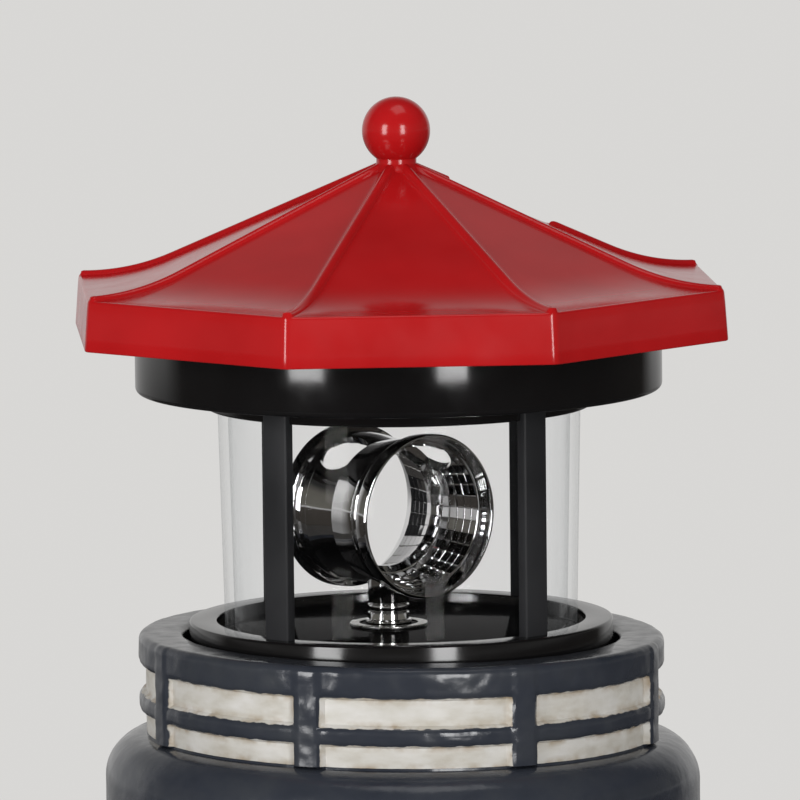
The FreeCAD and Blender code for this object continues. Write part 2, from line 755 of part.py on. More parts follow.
def gear(teeth, width, bore_radius, centre, low_z, phase):
    pitch_radius = gear_module * teeth / 2
    base = pitch_radius * math.cos(math.radians(20))
    tip = pitch_radius + gear_module
    root = pitch_radius - 1.25 * gear_module

    def involute(radius):
        pressure = math.acos(min(1, base / radius))
        return math.tan(pressure) - pressure

    half_tooth = (math.pi * gear_module / 2 - gear_backlash) / (2 * pitch_radius)
    start = max(base, root)
    flank = [start + (tip - start) * share for share in (0, 0.35, 0.7, 1)]
    points = []
    for number in range(teeth):
        middle = math.radians(phase) + number * 2 * math.pi / teeth
        offsets = [half_tooth + involute(pitch_radius) - involute(radius) for radius in flank]
        low = [(root, -offsets[0])] if root < base else []
        low += [(radius, -offset) for radius, offset in zip(flank, offsets)]
        high = [(radius, -angle) for radius, angle in reversed(low)]
        for radius, angle in low + high:
            points.append(Vector(centre.x + radius * math.cos(middle + angle),
                                 centre.y + radius * math.sin(middle + angle), low_z))
    points.append(points[0])
    blank = Part.Face(Part.makePolygon(points)).extrude(Vector(0, 0, width))
    if bore_radius:
        blank = blank.cut(cylinder(bore_radius, low_z - 1, low_z + width + 1, centre))
    return blank


def line_angle(start, end):
    return math.degrees(math.atan2(end.y - start.y, end.x - start.x))


def drive_gear():
    bore = shaft_radius + seat_play
    toothed = gear(drive_gear_teeth, drive_gear_width, bore, shaft_centre, drive_gear_z,
                   line_angle(shaft_centre, idler_centre))
    hub = ring(drive_gear_hub_radius, bore, drive_gear_z, deck_under_z - 3 * gear_play, shaft_centre)
    return toothed.fuse(hub).removeSplitter()


def idler_gear():
    bore = idler_axle_radius + axle_play
    to_drive = line_angle(idler_centre, shaft_centre)
    to_motor = line_angle(idler_centre, motor_centre)
    small = gear(idler_pinion_teeth, idler_top_z - idler_pinion_z + 0.2, bore, idler_centre,
                 idler_pinion_z - 0.2, to_drive + 180.0 / idler_pinion_teeth)
    wheel = gear(idler_wheel_teeth, idler_wheel_width, bore, idler_centre, idler_under_z,
                 to_motor)
    return wheel.fuse(small).removeSplitter()


def motor_pinion():
    to_idler = line_angle(motor_centre, idler_centre)
    low_z = idler_under_z - 0.3
    return gear(motor_pinion_teeth, motor_pinion_width, motor_shaft_radius + seat_play, motor_centre, low_z,
                to_idler + 180.0 / motor_pinion_teeth)


def gear_plate():
    centre = Vector(gear_plate_centre[0], gear_plate_centre[1], 0)
    plate = cylinder(gear_plate_radius, plate_under_z, plate_top_z, centre)
    plate = plate.fuse(cylinder(idler_boss_radius, plate_under_z, plate_top_z + idler_boss_height, idler_centre))
    cuts = [cylinder(stem_radius + seat_play, plate_under_z - 1, plate_top_z + 1, shaft_centre)]
    cuts.append(cylinder(idler_axle_radius + 0.01, plate_under_z - 1, plate_top_z + 3, idler_centre))
    cuts.append(cylinder(motor_boss_radius + seat_play, plate_under_z - 1, plate_top_z + 1, motor_centre))
    for angle in standoff_angles:
        cuts.append(cylinder(small_screw_radius + 0.15, plate_under_z - 1, plate_top_z + 1,
                             standoff_centre(angle)))
    for place in motor_screw_places():
        cuts.append(cylinder(small_screw_radius + 0.15, plate_under_z - 1, plate_top_z + 1, place))
    for angle in pillar_angles:
        cuts.append(cylinder(pillar_radius + pillar_gap, plate_under_z - 1, plate_top_z + 1,
                             polar(pillar_circle_radius, angle)))
    return plate.cut(cuts).removeSplitter()


def motor_screw_places():
    half = motor_screw_spacing / 2
    return [motor_centre + Vector(half, 0, 0), motor_centre - Vector(half, 0, 0)]


def motor_can():
    can = cylinder(motor_radius, plate_under_z - motor_length, plate_under_z, motor_centre)
    can = can.fuse(cylinder(motor_boss_radius, plate_under_z - 1, plate_under_z + motor_boss_height,
                            motor_centre))
    cuts = [cylinder(motor_shaft_radius + axle_play, plate_under_z - motor_length + 2,
                     plate_top_z + 1, motor_centre)]
    for place in motor_screw_places():
        cuts.append(cylinder(small_screw_radius + screw_play, plate_under_z - 3, plate_under_z + 1, place))
    return can.cut(cuts).removeSplitter()


def motor_shaft():
    return cylinder(motor_shaft_radius, plate_under_z - motor_length + 2 + gear_play,
                    idler_under_z + motor_pinion_width + 0.5, motor_centre)


def screws_up(places, low_z, length, small):
    if small:
        one = screw(small_screw_radius, small_screw_head_radius, small_screw_head_height, length)
    else:
        one = screw(screw_radius, screw_head_radius, screw_head_height, length)
    return group([placed(one, place.x, place.y, low_z) for place in places])


def motor_screws():
    one = screw(small_screw_radius, small_screw_head_radius, small_screw_head_height,
                gear_plate_thickness + motor_screw_grip)
    one.rotate(Vector(0, 0, 0), Vector(1, 0, 0), 180)
    return group([placed(one, place.x, place.y, plate_top_z) for place in motor_screw_places()])


# --- Beacon ---

def cup_outline(inside_only):
    # Drawn along +X from the waist at x = 0 to the rim, as radius against length.
    lip_start = cup_length - cup_lip_width
    groove_start = lip_start - cup_groove_width
    edge = 0.5
    outer = [(0, cup_waist_radius), (groove_start, cup_body_radius),
             (groove_start, cup_body_radius - cup_groove_depth),
             (lip_start, cup_body_radius - cup_groove_depth + 0.4),
             (lip_start, cup_rim_radius - 0.1), (cup_length - edge, cup_rim_radius),
             (cup_length, cup_rim_radius - edge), (cup_length, cup_mouth_radius + cup_mouth_flare)]
    inner = []
    mouth_x = cup_length - cup_mouth_depth
    for row in range(cup_rows + 1):
        share = row / cup_rows
        radius = cup_throat_radius + (cup_mouth_radius - cup_throat_radius) * math.sqrt(share)
        inner.append((mouth_x * share, radius))
    return [(0, 0)] + outer[:7] + [(cup_length, 0)] if inside_only else outer + inner[::-1]


def revolved_along_x(points):
    wire = Part.makePolygon([Vector(x, 0, radius) for x, radius in points + [points[0]]])
    return Part.Face(wire).revolve(Vector(0, 0, 0), Vector(1, 0, 0), 360)


def beam_placed(shape, reverse):
    copy = shape.copy()
    direction = heading_vector(beam_heading + (180 if reverse else 0))
    copy.rotate(Vector(0, 0, 0), Vector(0, 0, 1), math.degrees(math.atan2(direction.y, direction.x)))
    copy.translate(Vector(shaft_centre.x, shaft_centre.y, beam_z))
    return copy


def reflector_cup(reverse):
    cup = revolved_along_x(cup_outline(False))
    window = Part.makeCylinder(cup_window_radius, cup_waist_radius, Vector(cup_window_offset, 0, 4))
    window.rotate(Vector(0, 0, 0), Vector(1, 0, 0), -cup_window_angle)
    cup = cup.cut(window)
    lamp_hole = cylinder(shaft_bore_radius, beam_z - cup_waist_radius - 2, beam_z, shaft_centre)
    return beam_placed(cup, reverse).cut(lamp_hole)


def beacon_shaft():
    low_z = drive_gear_z - 1.5
    radius = shaft_radius
    body = cylinder(radius, low_z, beam_z - cup_throat_radius, shaft_centre)
    foot = cylinder(shaft_foot_radius, shaft_foot_z, shaft_foot_z + shaft_foot_height, shaft_centre)
    body = body.fuse(foot)
    cuts = [cylinder(shaft_bore_radius, low_z - 1, beam_z, shaft_centre)]
    for height in shaft_groove_heights:
        groove_z = shaft_foot_z + height
        cuts.append(ring(radius + 1, radius - shaft_groove_depth, groove_z,
                         groove_z + shaft_groove_width, shaft_centre))
    envelope = revolved_along_x(cup_outline(True))
    cuts.append(beam_placed(envelope, False))
    cuts.append(beam_placed(envelope, True))
    return body.cut(cuts).removeSplitter()


def bearing_bush():
    centre = shaft_centre
    body = cylinder(bush_radius, deck_under_z, boss_top_z, centre)
    flange = cylinder(bush_flange_radius, boss_top_z, bush_top_z, centre)
    recess = cylinder(bush_recess_radius, bush_top_z - bush_recess_depth, bush_top_z + 1, centre)
    bore = cylinder(shaft_radius + bush_play, deck_under_z - 1, bush_top_z + 1, centre)
    return body.fuse(flange).cut([recess, bore]).removeSplitter()


def lamp_stem():
    tube = ring(stem_radius, stem_bore_radius, plate_under_z - stem_flange_height, lamp_foot_z, shaft_centre)
    flange = ring(stem_flange_radius, stem_bore_radius, plate_under_z - stem_flange_height, plate_under_z,
                  shaft_centre)
    return tube.fuse(flange).removeSplitter()


def lamp():
    body = cylinder(lamp_radius, lamp_foot_z, lamp_top_z - lamp_radius, shaft_centre)
    dome = Part.makeSphere(lamp_radius, Vector(shaft_centre.x, shaft_centre.y, lamp_top_z - lamp_radius))
    return body.fuse(dome).removeSplitter()


def glazing_sleeve():
    foot_z = deck_top_z - groove_depth
    top_z = drum_under_z - seat_play * 4
    top_inner = sleeve_top_radius - sleeve_wall
    foot_inner = sleeve_foot_radius - sleeve_wall
    return revolved([(foot_inner, foot_z), (sleeve_foot_radius, foot_z), (sleeve_top_radius, top_z),
                     (top_inner, top_z)])


# --- Roof base ---

def roof_base():
    body = revolved([
        (0, collar_under_z), (collar_radius - 0.4, collar_under_z), (collar_radius, collar_under_z + 0.4),
        (collar_radius, drum_under_z), (drum_radius - drum_edge_round, drum_under_z),
        ("arc", (drum_radius - drum_edge_round * (1 - math.sqrt(0.5)),
                 drum_under_z + drum_edge_round * (1 - math.sqrt(0.5))),
         (drum_radius, drum_under_z + drum_edge_round)),
        (drum_radius, drum_under_z + drum_height), (drum_radius - drum_wall, drum_under_z + drum_height),
        (drum_radius - drum_wall, drum_floor_top_z), (0, drum_floor_top_z)])
    cuts = [ring(sleeve_top_radius + sleeve_play, sleeve_top_radius - sleeve_wall - 2 * sleeve_play,
                 collar_under_z - 1, drum_under_z)]
    for heading in post_headings:
        cuts.append(at_heading(post_blank(collar_under_z - 1, drum_under_z + post_head_tenon, seat_play),
                               heading))
    for heading in boss_headings:
        place = heading_vector(heading) * boss_circle_radius
        cuts.append(cylinder(screw_radius + 0.2, drum_under_z - 1, drum_floor_top_z + 1, place))
        cuts.append(cylinder(screw_head_radius + 0.3, drum_under_z - 1, drum_under_z + screw_head_height,
                             place))
    cuts.append(cylinder(wire_hole_radius, drum_under_z - 1, drum_floor_top_z + 1, lead_channel_centre()))
    return body.cut(cuts)


# --- Roof shell ---

def facet_z(apothem):
    # Height of a facet's face on its middle line, before the flare.
    return eave_z + flare_rise + (flare_apothem - apothem) * slope_rise


def roof_sector(shrink):
    # One facet's wedge: its section across the eave, drawn in the YZ plane facing -Y.
    lean = fascia_draft
    slope = math.radians(roof_slope)
    drop = shrink / math.cos(slope)
    mid_share = math.sin(slope / 2) / math.sin(slope)
    mid_a = flare_apothem + flare_run * mid_share * math.cos(slope / 4) * 1.0
    radius = flare_run / math.sin(slope)
    mid_a = eave_apothem - radius * math.sin(slope / 2)
    mid_z = eave_z + radius * (1 - math.cos(slope / 2))
    top_z = eave_z + flare_rise + flare_apothem * slope_rise
    low_z = fascia_z - (1 if shrink else 0)
    side = eave_apothem - shrink
    edges = [
        Part.LineSegment(Vector(0, 0, low_z), Vector(0, -(side + lean), low_z)).toShape(),
        Part.LineSegment(Vector(0, -(side + lean), low_z), Vector(0, -side, eave_z - shrink)).toShape()]
    if shrink:
        edges.append(Part.LineSegment(Vector(0, -side, eave_z - shrink),
                                      Vector(0, -flare_apothem, eave_z + flare_rise - drop)).toShape())
    else:
        edges.append(Part.Arc(Vector(0, -side, eave_z), Vector(0, -mid_a, mid_z),
                              Vector(0, -flare_apothem, eave_z + flare_rise)).toShape())
    edges.append(Part.LineSegment(Vector(0, -flare_apothem, eave_z + flare_rise - drop),
                                  Vector(0, 0, top_z - drop)).toShape())
    edges.append(Part.LineSegment(Vector(0, 0, top_z - drop), Vector(0, 0, low_z)).toShape())
    width = 2 * (eave_apothem + lean) * math.tan(half_side)
    slab = Part.Face(Part.Wire(edges)).extrude(Vector(width, 0, 0))
    slab.translate(Vector(-width / 2, 0, 0))
    reach = 2 * eave_apothem
    half = reach * math.tan(half_side)
    wedge = Part.Face(Part.makePolygon([Vector(0, 0, low_z), Vector(-half, -reach, low_z),
                                        Vector(half, -reach, low_z), Vector(0, 0, low_z)]))
    return slab.common(wedge.extrude(Vector(0, 0, ball_z - low_z)))


def roof_blank(shrink):
    sector = roof_sector(shrink)
    return fused([turned(sector, number * 360.0 / roof_sides) for number in range(roof_sides)])


def hip_point(apothem, height):
    return Vector(0, -apothem * corner_factor, height)


def hip_rib():
    sink = rib_radius - rib_proud
    slope = math.radians(roof_slope)
    radius = flare_run / math.sin(slope)
    top_a = (neck_radius * 0.6) / corner_factor
    start = hip_point(top_a, facet_z(top_a) - sink)
    knee = hip_point(flare_apothem, eave_z + flare_rise - sink)
    middle = hip_point(eave_apothem - radius * math.sin(slope / 2),
                       eave_z + radius * (1 - math.cos(slope / 2)) - sink)
    end_a = eave_apothem - rib_inset / corner_factor
    end = hip_point(end_a, eave_z - sink + (rib_inset ** 2) / (2 * radius))
    straight = Part.makeCylinder(rib_radius, (knee - start).Length, start, knee - start)
    arc = Part.Arc(knee, middle, end)
    direction = arc.tangent(arc.FirstParameter)[0]
    section = Part.Wire([Part.makeCircle(rib_radius, knee, direction)])
    curved = Part.Wire([arc.toShape()]).makePipeShell([section], True, False)
    return fused([straight, curved, Part.makeSphere(rib_radius, knee), Part.makeSphere(rib_radius, end)])


def facet_block(width, low_a, high_a, low_depth, high_depth):
    # A box lying along the facet at the front: depth is measured square to its face, inwards.
    slope = math.radians(roof_slope)
    origin = Vector(0, -low_a, facet_z(low_a))
    length = (high_a - low_a) / math.cos(slope)
    box = Part.makeBox(width, length, high_depth - low_depth, Vector(-width / 2, 0, -high_depth))
    box.rotate(Vector(0, 0, 0), Vector(0, 0, 1), 180)
    box.rotate(Vector(0, 0, 0), Vector(1, 0, 0), roof_slope)
    box.translate(origin)
    return box


def panel_lower_apothem():
    return panel_upper_apothem + panel_length * math.cos(math.radians(roof_slope))


def solar_panel():
    panel = facet_block(panel_width, panel_upper_apothem, panel_lower_apothem(), panel_recess,
                        panel_recess + panel_thickness)
    return at_heading(panel, panel_heading)


def panel_back_point():
    middle_a = (panel_upper_apothem + panel_lower_apothem()) / 2
    depth = panel_recess + panel_thickness
    slope = math.radians(roof_slope)
    point = Vector(0, -middle_a + depth * math.sin(slope), facet_z(middle_a) - depth * math.cos(slope))
    turn = Rotation(Vector(0, 0, 1), panel_heading)
    return turn.multVec(point)


def roof_shell():
    play_a = panel_play * math.cos(math.radians(roof_slope))
    low_a = panel_upper_apothem - play_a
    high_a = panel_lower_apothem() + play_a
    wide = panel_width + 2 * panel_play
    bed_depth = panel_recess + panel_thickness
    pocket = at_heading(facet_block(wide, low_a, high_a, -4, bed_depth), panel_heading)
    tray = facet_block(wide + 2 * panel_seat, low_a - panel_seat, high_a + panel_seat,
                       -1, bed_depth + panel_seat)
    outer = roof_blank(0)
    corners = []
    for edge in outer.Edges:
        first, last = edge.Vertexes[0].Point, edge.Vertexes[-1].Point
        rises = abs(abs(first.z - last.z) - fascia_height) < 0.2
        if rises and math.hypot(first.x, first.y) > eave_apothem:
            corners.append(edge)
    outer = outer.makeFillet(fascia_corner_round, corners)
    shell = outer.cut(roof_blank(roof_wall))
    adds = [at_heading(tray, panel_heading).common(outer)]
    for heading in boss_headings:
        place = heading_vector(heading) * boss_circle_radius
        adds.append(cylinder(boss_radius, drum_floor_top_z, eave_z + flare_rise, place).common(
            cylinder(boss_radius + 1, fascia_z, eave_z + flare_rise, place).common(outer).fuse(
                cylinder(boss_radius + 1, drum_floor_top_z - 1, fascia_z, place))))
    for number in range(roof_sides):
        adds.append(turned(hip_rib(), (number + 0.5) * 360.0 / roof_sides))
    neck_low_z = facet_z(neck_radius) - roof_wall
    adds.append(cylinder(neck_radius, neck_low_z, ball_z))
    adds.append(Part.makeSphere(ball_radius, Vector(0, 0, ball_z)))
    body = shell.multiFuse(adds)
    cuts = [pocket]
    for heading in boss_headings:
        place = heading_vector(heading) * boss_circle_radius
        cuts.append(cylinder(screw_radius + screw_play, drum_floor_top_z - 1,
                             drum_floor_top_z + boss_pilot_depth, place))
    back = panel_back_point()
    cuts.append(cylinder(wire_hole_radius, back.z - 8, back.z + 1, back))
    return body.cut(cuts).removeSplitter()


# --- Leads ---

def panel_lead():
    back = panel_back_point()
    channel = lead_channel_centre()
    run_z = drum_floor_top_z + panel_lead_run
    board_z = case_inside_z + switch_size[2] + board_thickness
    end = Vector(board_centre[0] - 2, board_centre[1] + 5, board_z)
    points = [Vector(back.x, back.y, back.z - lead_radius), Vector(back.x, back.y, run_z),
              Vector(channel.x, channel.y, run_z), Vector(channel.x, channel.y, plate_top_z),
              Vector(end.x, end.y, plate_top_z - 8), end]
    return tube_along(points, lead_radius, 6.0)


def lamp_lead():
    start = Vector(shaft_centre.x, shaft_centre.y, lamp_foot_z)
    board_z = case_inside_z + switch_size[2] + board_thickness
    bend_z = plate_under_z - stem_flange_height - lamp_lead_drop
    end = Vector(board_centre[0] + 6, board_centre[1] - 1, board_z)
    return tube_along([start, Vector(start.x, start.y, bend_z), Vector(end.x, end.y, bend_z), end],
                      lead_radius, 4.0)


def motor_lead():
    board_z = case_inside_z + switch_size[2] + board_thickness
    start_x = motor_centre.x - motor_radius - 0.05
    end = Vector(board_centre[0] + 7, board_centre[1] + 3, board_z)
    start = Vector(start_x, motor_centre.y, board_z + motor_lead_rise)
    bend = Vector(start_x - motor_lead_run, start.y, start.z)
    return tube_along([start, bend, Vector(end.x, end.y, start.z), end], lead_radius, 3.0)


def battery_leads():
    board_z = case_inside_z + switch_size[2] + board_thickness
    tab_x = holder_half_length - holder_wall - contact_thickness - lead_radius - 0.02
    tab_z = case_inside_z + holder_height + battery_lead_rise
    left_end = Vector(board_centre[0] - 7, board_centre[1] - 2, board_z)
    left = [Vector(-tab_x, cell_y + 3, tab_z), Vector(-tab_x, left_end.y - 3, tab_z),
            Vector(left_end.x, left_end.y, tab_z), left_end]
    right_end = Vector(board_centre[0] + 3, board_centre[1] - 6.5, board_z)
    back_y = cell_y + holder_half_width + 3.5
    right = [Vector(tab_x, cell_y + 3, tab_z), Vector(tab_x, back_y, tab_z + 1),
             Vector(right_end.x, back_y, tab_z + 1), Vector(right_end.x, right_end.y, tab_z + 1), right_end]
    return group([tube_along(left, lead_radius, 3.0), tube_along(right, lead_radius, 3.0)])


def battery_door_screw():
    place = door_screw_centre()
    return screws_up([place], case_floor_z - door_tab_thickness, door_screw_length, False)


def case_screws():
    return screws_up([polar(pillar_circle_radius, angle) for angle in pillar_angles], case_floor_z,
                     case_floor + case_screw_grip, False)


def gear_plate_screws():
    return screws_up([standoff_centre(angle) for angle in standoff_angles], plate_under_z,
                     gear_plate_thickness + plate_screw_grip, True)


def roof_screws():
    places = [heading_vector(heading) * boss_circle_radius for heading in boss_headings]
    return screws_up(places, drum_under_z + screw_head_height, drum_floor + roof_screw_grip, False)


def idler_axle():
    return cylinder(idler_axle_radius, plate_under_z, idler_top_z + 1.6, idler_centre)


nodes = {
    "tower_casting": tower_casting(),
    "deck_plate": deck_plate(),
    "mechanism_case": mechanism_case(),
    "case_screws": case_screws(),
    "battery_door": battery_door(),
    "battery_door_screw": battery_door_screw(),
    "battery_holder": battery_holder(),
    "battery_cell": battery_cell(),
    "battery_spring": battery_spring(),
    "battery_contact": battery_contact(),
    "circuit_board": circuit_board(),
    "switch_body": switch_body(),
    "switch_knob": switch_knob(),
    "gear_plate": gear_plate(),
    "gear_plate_screws": gear_plate_screws(),
    "motor_can": motor_can(),
    "motor_screws": motor_screws(),
    "motor_shaft": motor_shaft(),
    "motor_pinion": motor_pinion(),
    "idler_axle": idler_axle(),
    "idler_gear": idler_gear(),
    "drive_gear": drive_gear(),
    "beacon_shaft": beacon_shaft(),
    "front_reflector_cup": reflector_cup(False),
    "rear_reflector_cup": reflector_cup(True),
    "bearing_bush": bearing_bush(),
    "lamp_stem": lamp_stem(),
    "lamp": lamp(),
    "glazing_sleeve": glazing_sleeve(),
    "roof_base": roof_base(),
    "roof_shell": roof_shell(),
    "roof_screws": roof_screws(),
    "solar_panel": solar_panel(),
    "panel_lead": panel_lead(),
    "lamp_lead": lamp_lead(),
    "motor_lead": motor_lead(),
    "battery_leads": battery_leads(),
}
for name, heading in zip(post_names, post_headings):
    nodes[name] = grooved_post(heading) if name == "rear_left_post" else lantern_post(heading)

os.makedirs("parts", exist_ok=True)
for name, shape in nodes.items():
    shape.exportStep("parts/" + name + ".step")
    print(name, "solids", len(shape.Solids), "valid", shape.isValid(), "mm3", round(shape.Volume, 1))
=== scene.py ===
import math

import bmesh
import bpy
from mathutils import Matrix, Quaternion, Vector, noise


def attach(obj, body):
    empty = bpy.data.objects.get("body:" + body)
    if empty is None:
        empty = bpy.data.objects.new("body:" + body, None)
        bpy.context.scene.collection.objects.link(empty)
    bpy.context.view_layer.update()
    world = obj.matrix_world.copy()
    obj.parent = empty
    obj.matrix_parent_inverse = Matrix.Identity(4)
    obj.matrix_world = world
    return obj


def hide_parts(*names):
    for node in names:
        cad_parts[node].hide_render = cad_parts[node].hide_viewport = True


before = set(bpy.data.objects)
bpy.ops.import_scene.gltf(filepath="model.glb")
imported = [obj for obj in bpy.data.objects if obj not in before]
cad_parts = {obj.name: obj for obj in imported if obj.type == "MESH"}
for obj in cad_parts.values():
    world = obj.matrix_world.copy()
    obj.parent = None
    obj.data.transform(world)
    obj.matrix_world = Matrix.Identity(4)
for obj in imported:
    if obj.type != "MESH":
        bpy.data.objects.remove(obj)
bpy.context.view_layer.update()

mm = 0.001
fullTurn = 2 * math.pi

# Lengths are given in millimetres; every vertex is in metres.


def headingVector(heading):
    # Seen from above: 0 looks out of the front, 90 looks out of the right.
    angle = math.radians(heading)
    return Vector((math.sin(angle), -math.cos(angle), 0))


def easeBetween(low, high, value):
    share = min(1.0, max(0.0, (value - low) / (high - low)))
    return share * share * (3 - 2 * share)


def softened(points, steps=5, closed=True):
    # Points are (radius, height) or (radius, height, round); a round turns the corner into an arc.
    line = []
    for number, point in enumerate(points):
        here = Vector(point[:2])
        inside = closed or 0 < number < len(points) - 1
        if len(point) < 3 or not inside:
            line.append((here.x, here.y))
            continue
        before = (Vector(points[number - 1][:2]) - here).normalized()
        after = (Vector(points[(number + 1) % len(points)][:2]) - here).normalized()
        half = before.angle(after) / 2
        centre = here + (before + after).normalized() * (point[2] / math.sin(half))
        first = here + before * (point[2] / math.tan(half)) - centre
        last = here + after * (point[2] / math.tan(half)) - centre
        start = math.atan2(first.y, first.x)
        sweep = math.atan2(last.y, last.x) - start
        sweep -= fullTurn * round(sweep / fullTurn)
        for step in range(steps + 1):
            angle = start + sweep * step / steps
            line.append((centre.x + point[2] * math.cos(angle), centre.y + point[2] * math.sin(angle)))
    return line


def spun(line, segments, closed=True):
    shape = bmesh.new()
    corners = [shape.verts.new((radius * mm, 0, height * mm)) for radius, height in line]
    edges = [shape.edges.new(pair) for pair in zip(corners, corners[1:])]
    if closed:
        edges.append(shape.edges.new((corners[-1], corners[0])))
    bmesh.ops.spin(shape, geom=corners + edges, cent=(0, 0, 0), axis=(0, 0, 1), dvec=(0, 0, 0),
                   angle=fullTurn, steps=segments, use_merge=True)
    bmesh.ops.remove_doubles(shape, verts=shape.verts, dist=1e-7)
    return shape


def boxShape(low, high, rounding=0.0, steps=2):
    shape = bmesh.new()
    bmesh.ops.create_cube(shape, size=1.0)
    size = [(high[axis] - low[axis]) * mm for axis in range(3)]
    middle = [(high[axis] + low[axis]) / 2 * mm for axis in range(3)]
    bmesh.ops.scale(shape, vec=size, verts=shape.verts)
    bmesh.ops.translate(shape, vec=middle, verts=shape.verts)
    if rounding:
        bmesh.ops.bevel(shape, geom=list(shape.edges), offset=rounding * mm, offset_type="OFFSET",
                        segments=steps, profile=0.5, affect="EDGES", material=-1)
    return shape


def moved(shape, matrix):
    bmesh.ops.transform(shape, matrix=matrix, verts=shape.verts)
    return shape


def turnedTo(heading, x=0.0, y=0.0, z=0.0):
    return Matrix.Translation((x * mm, y * mm, z * mm)) @ Matrix.Rotation(math.radians(heading), 4, "Z")


def joined(shapes):
    whole = shapes[0]
    for shape in shapes[1:]:
        part = bpy.data.meshes.new("part")
        shape.to_mesh(part)
        shape.free()
        whole.from_mesh(part)
        bpy.data.meshes.remove(part)
    return whole


def looseObject(shape, name, scale):
    bmesh.ops.recalc_face_normals(shape, faces=shape.faces)
    bmesh.ops.scale(shape, vec=(scale, scale, scale), verts=shape.verts)
    mesh = bpy.data.meshes.new(name)
    shape.to_mesh(mesh)
    shape.free()
    thing = bpy.data.objects.new(name, mesh)
    bpy.context.scene.collection.objects.link(thing)
    return thing


def cutBy(shape, tools, mode="DIFFERENCE"):
    # Cuts or trims a closed shape with others, at a larger scale so that fine edges survive.
    target = looseObject(shape, "target", 1 / mm)
    for tool in tools:
        cutter = looseObject(tool, "cutter", 1 / mm)
        change = target.modifiers.new("cut", "BOOLEAN")
        change.operation = mode
        change.solver = "EXACT"
        change.object = cutter
        bpy.context.view_layer.update()
        graph = bpy.context.evaluated_depsgraph_get()
        result = bpy.data.meshes.new_from_object(target.evaluated_get(graph))
        target.modifiers.clear()
        target.data = result
        bpy.data.objects.remove(cutter)
    shape = bmesh.new()
    shape.from_mesh(target.data)
    bpy.data.objects.remove(target)
    bmesh.ops.scale(shape, vec=(mm, mm, mm), verts=shape.verts)
    return shape


def addPiece(name, shape, finish, body, nodes, smoothBelow=38.0):
    bmesh.ops.recalc_face_normals(shape, faces=shape.faces)
    mesh = bpy.data.meshes.new(name)
    shape.to_mesh(mesh)
    shape.free()
    mesh.shade_smooth()
    mesh.set_sharp_from_angle(angle=math.radians(smoothBelow))
    finishes = finish if isinstance(finish, list) else [finish]
    for one in finishes:
        mesh.materials.append(one)
    piece = bpy.data.objects.new(name, mesh)
    bpy.context.scene.collection.objects.link(piece)
    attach(piece, body)
    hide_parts(*nodes)


def newFinish(name, colour, roughness, metallic=0.0):
    finish = bpy.data.materials.new(name)
    finish.use_nodes = True
    shader = finish.node_tree.nodes["Principled BSDF"]
    shader.inputs["Base Color"].default_value = (*colour, 1)
    shader.inputs["Roughness"].default_value = roughness
    shader.inputs["Metallic"].default_value = metallic
    return finish, finish.node_tree, shader


def cloud(tree, scale, detail=2.0, stretch=(1, 1, 1)):
    # Noise in the ornament's own coordinates; scale is in features per metre.
    place = tree.nodes.new("ShaderNodeTexCoord")
    mapping = tree.nodes.new("ShaderNodeMapping")
    mapping.inputs["Scale"].default_value = stretch
    grain = tree.nodes.new("ShaderNodeTexNoise")
    grain.inputs["Scale"].default_value = scale
    grain.inputs["Detail"].default_value = detail
    tree.links.new(place.outputs["Object"], mapping.inputs["Vector"])
    tree.links.new(mapping.outputs["Vector"], grain.inputs["Vector"])
    return grain.outputs["Fac"]


def ramp(tree, value, stops):
    node = tree.nodes.new("ShaderNodeValToRGB")
    while len(node.color_ramp.elements) < len(stops):
        node.color_ramp.elements.new(0.5)
    for element, (place, colour) in zip(node.color_ramp.elements, stops):
        element.position = place
        element.color = (*colour, 1)
    tree.links.new(value, node.inputs["Fac"])
    return node.outputs["Color"]


def remap(tree, value, fromLow, fromHigh, toLow, toHigh):
    node = tree.nodes.new("ShaderNodeMapRange")
    node.inputs["From Min"].default_value = fromLow
    node.inputs["From Max"].default_value = fromHigh
    node.inputs["To Min"].default_value = toLow
    node.inputs["To Max"].default_value = toHigh
    tree.links.new(value, node.inputs["Value"])
    return node.outputs["Result"]


def combine(tree, operation, first, second, third=None):
    node = tree.nodes.new("ShaderNodeMath")
    node.operation = operation
    for socket, value in zip(node.inputs, (first, second, third)):
        if value is None:
            continue
        if isinstance(value, (int, float)):
            socket.default_value = value
        else:
            tree.links.new(value, socket)
    return node.outputs["Value"]


def mixColours(tree, factor, first, second):
    node = tree.nodes.new("ShaderNodeMix")
    node.data_type = "RGBA"
    for socket, value in ((node.inputs[0], factor), (node.inputs[6], first), (node.inputs[7], second)):
        if isinstance(value, tuple):
            socket.default_value = (*value, 1)
        elif isinstance(value, (int, float)):
            socket.default_value = value
        else:
            tree.links.new(value, socket)
    return node.outputs[2]


def addBump(tree, shader, height, strength, depth):
    # Depth is the real height of the relief in millimetres.
    node = tree.nodes.new("ShaderNodeBump")
    node.inputs["Strength"].default_value = strength
    node.inputs["Distance"].default_value = depth * mm
    tree.links.new(height, node.inputs["Height"])
    existing = shader.inputs["Normal"].links
    if existing:
        tree.links.new(existing[0].from_socket, node.inputs["Normal"])
    tree.links.new(node.outputs["Normal"], shader.inputs["Normal"])


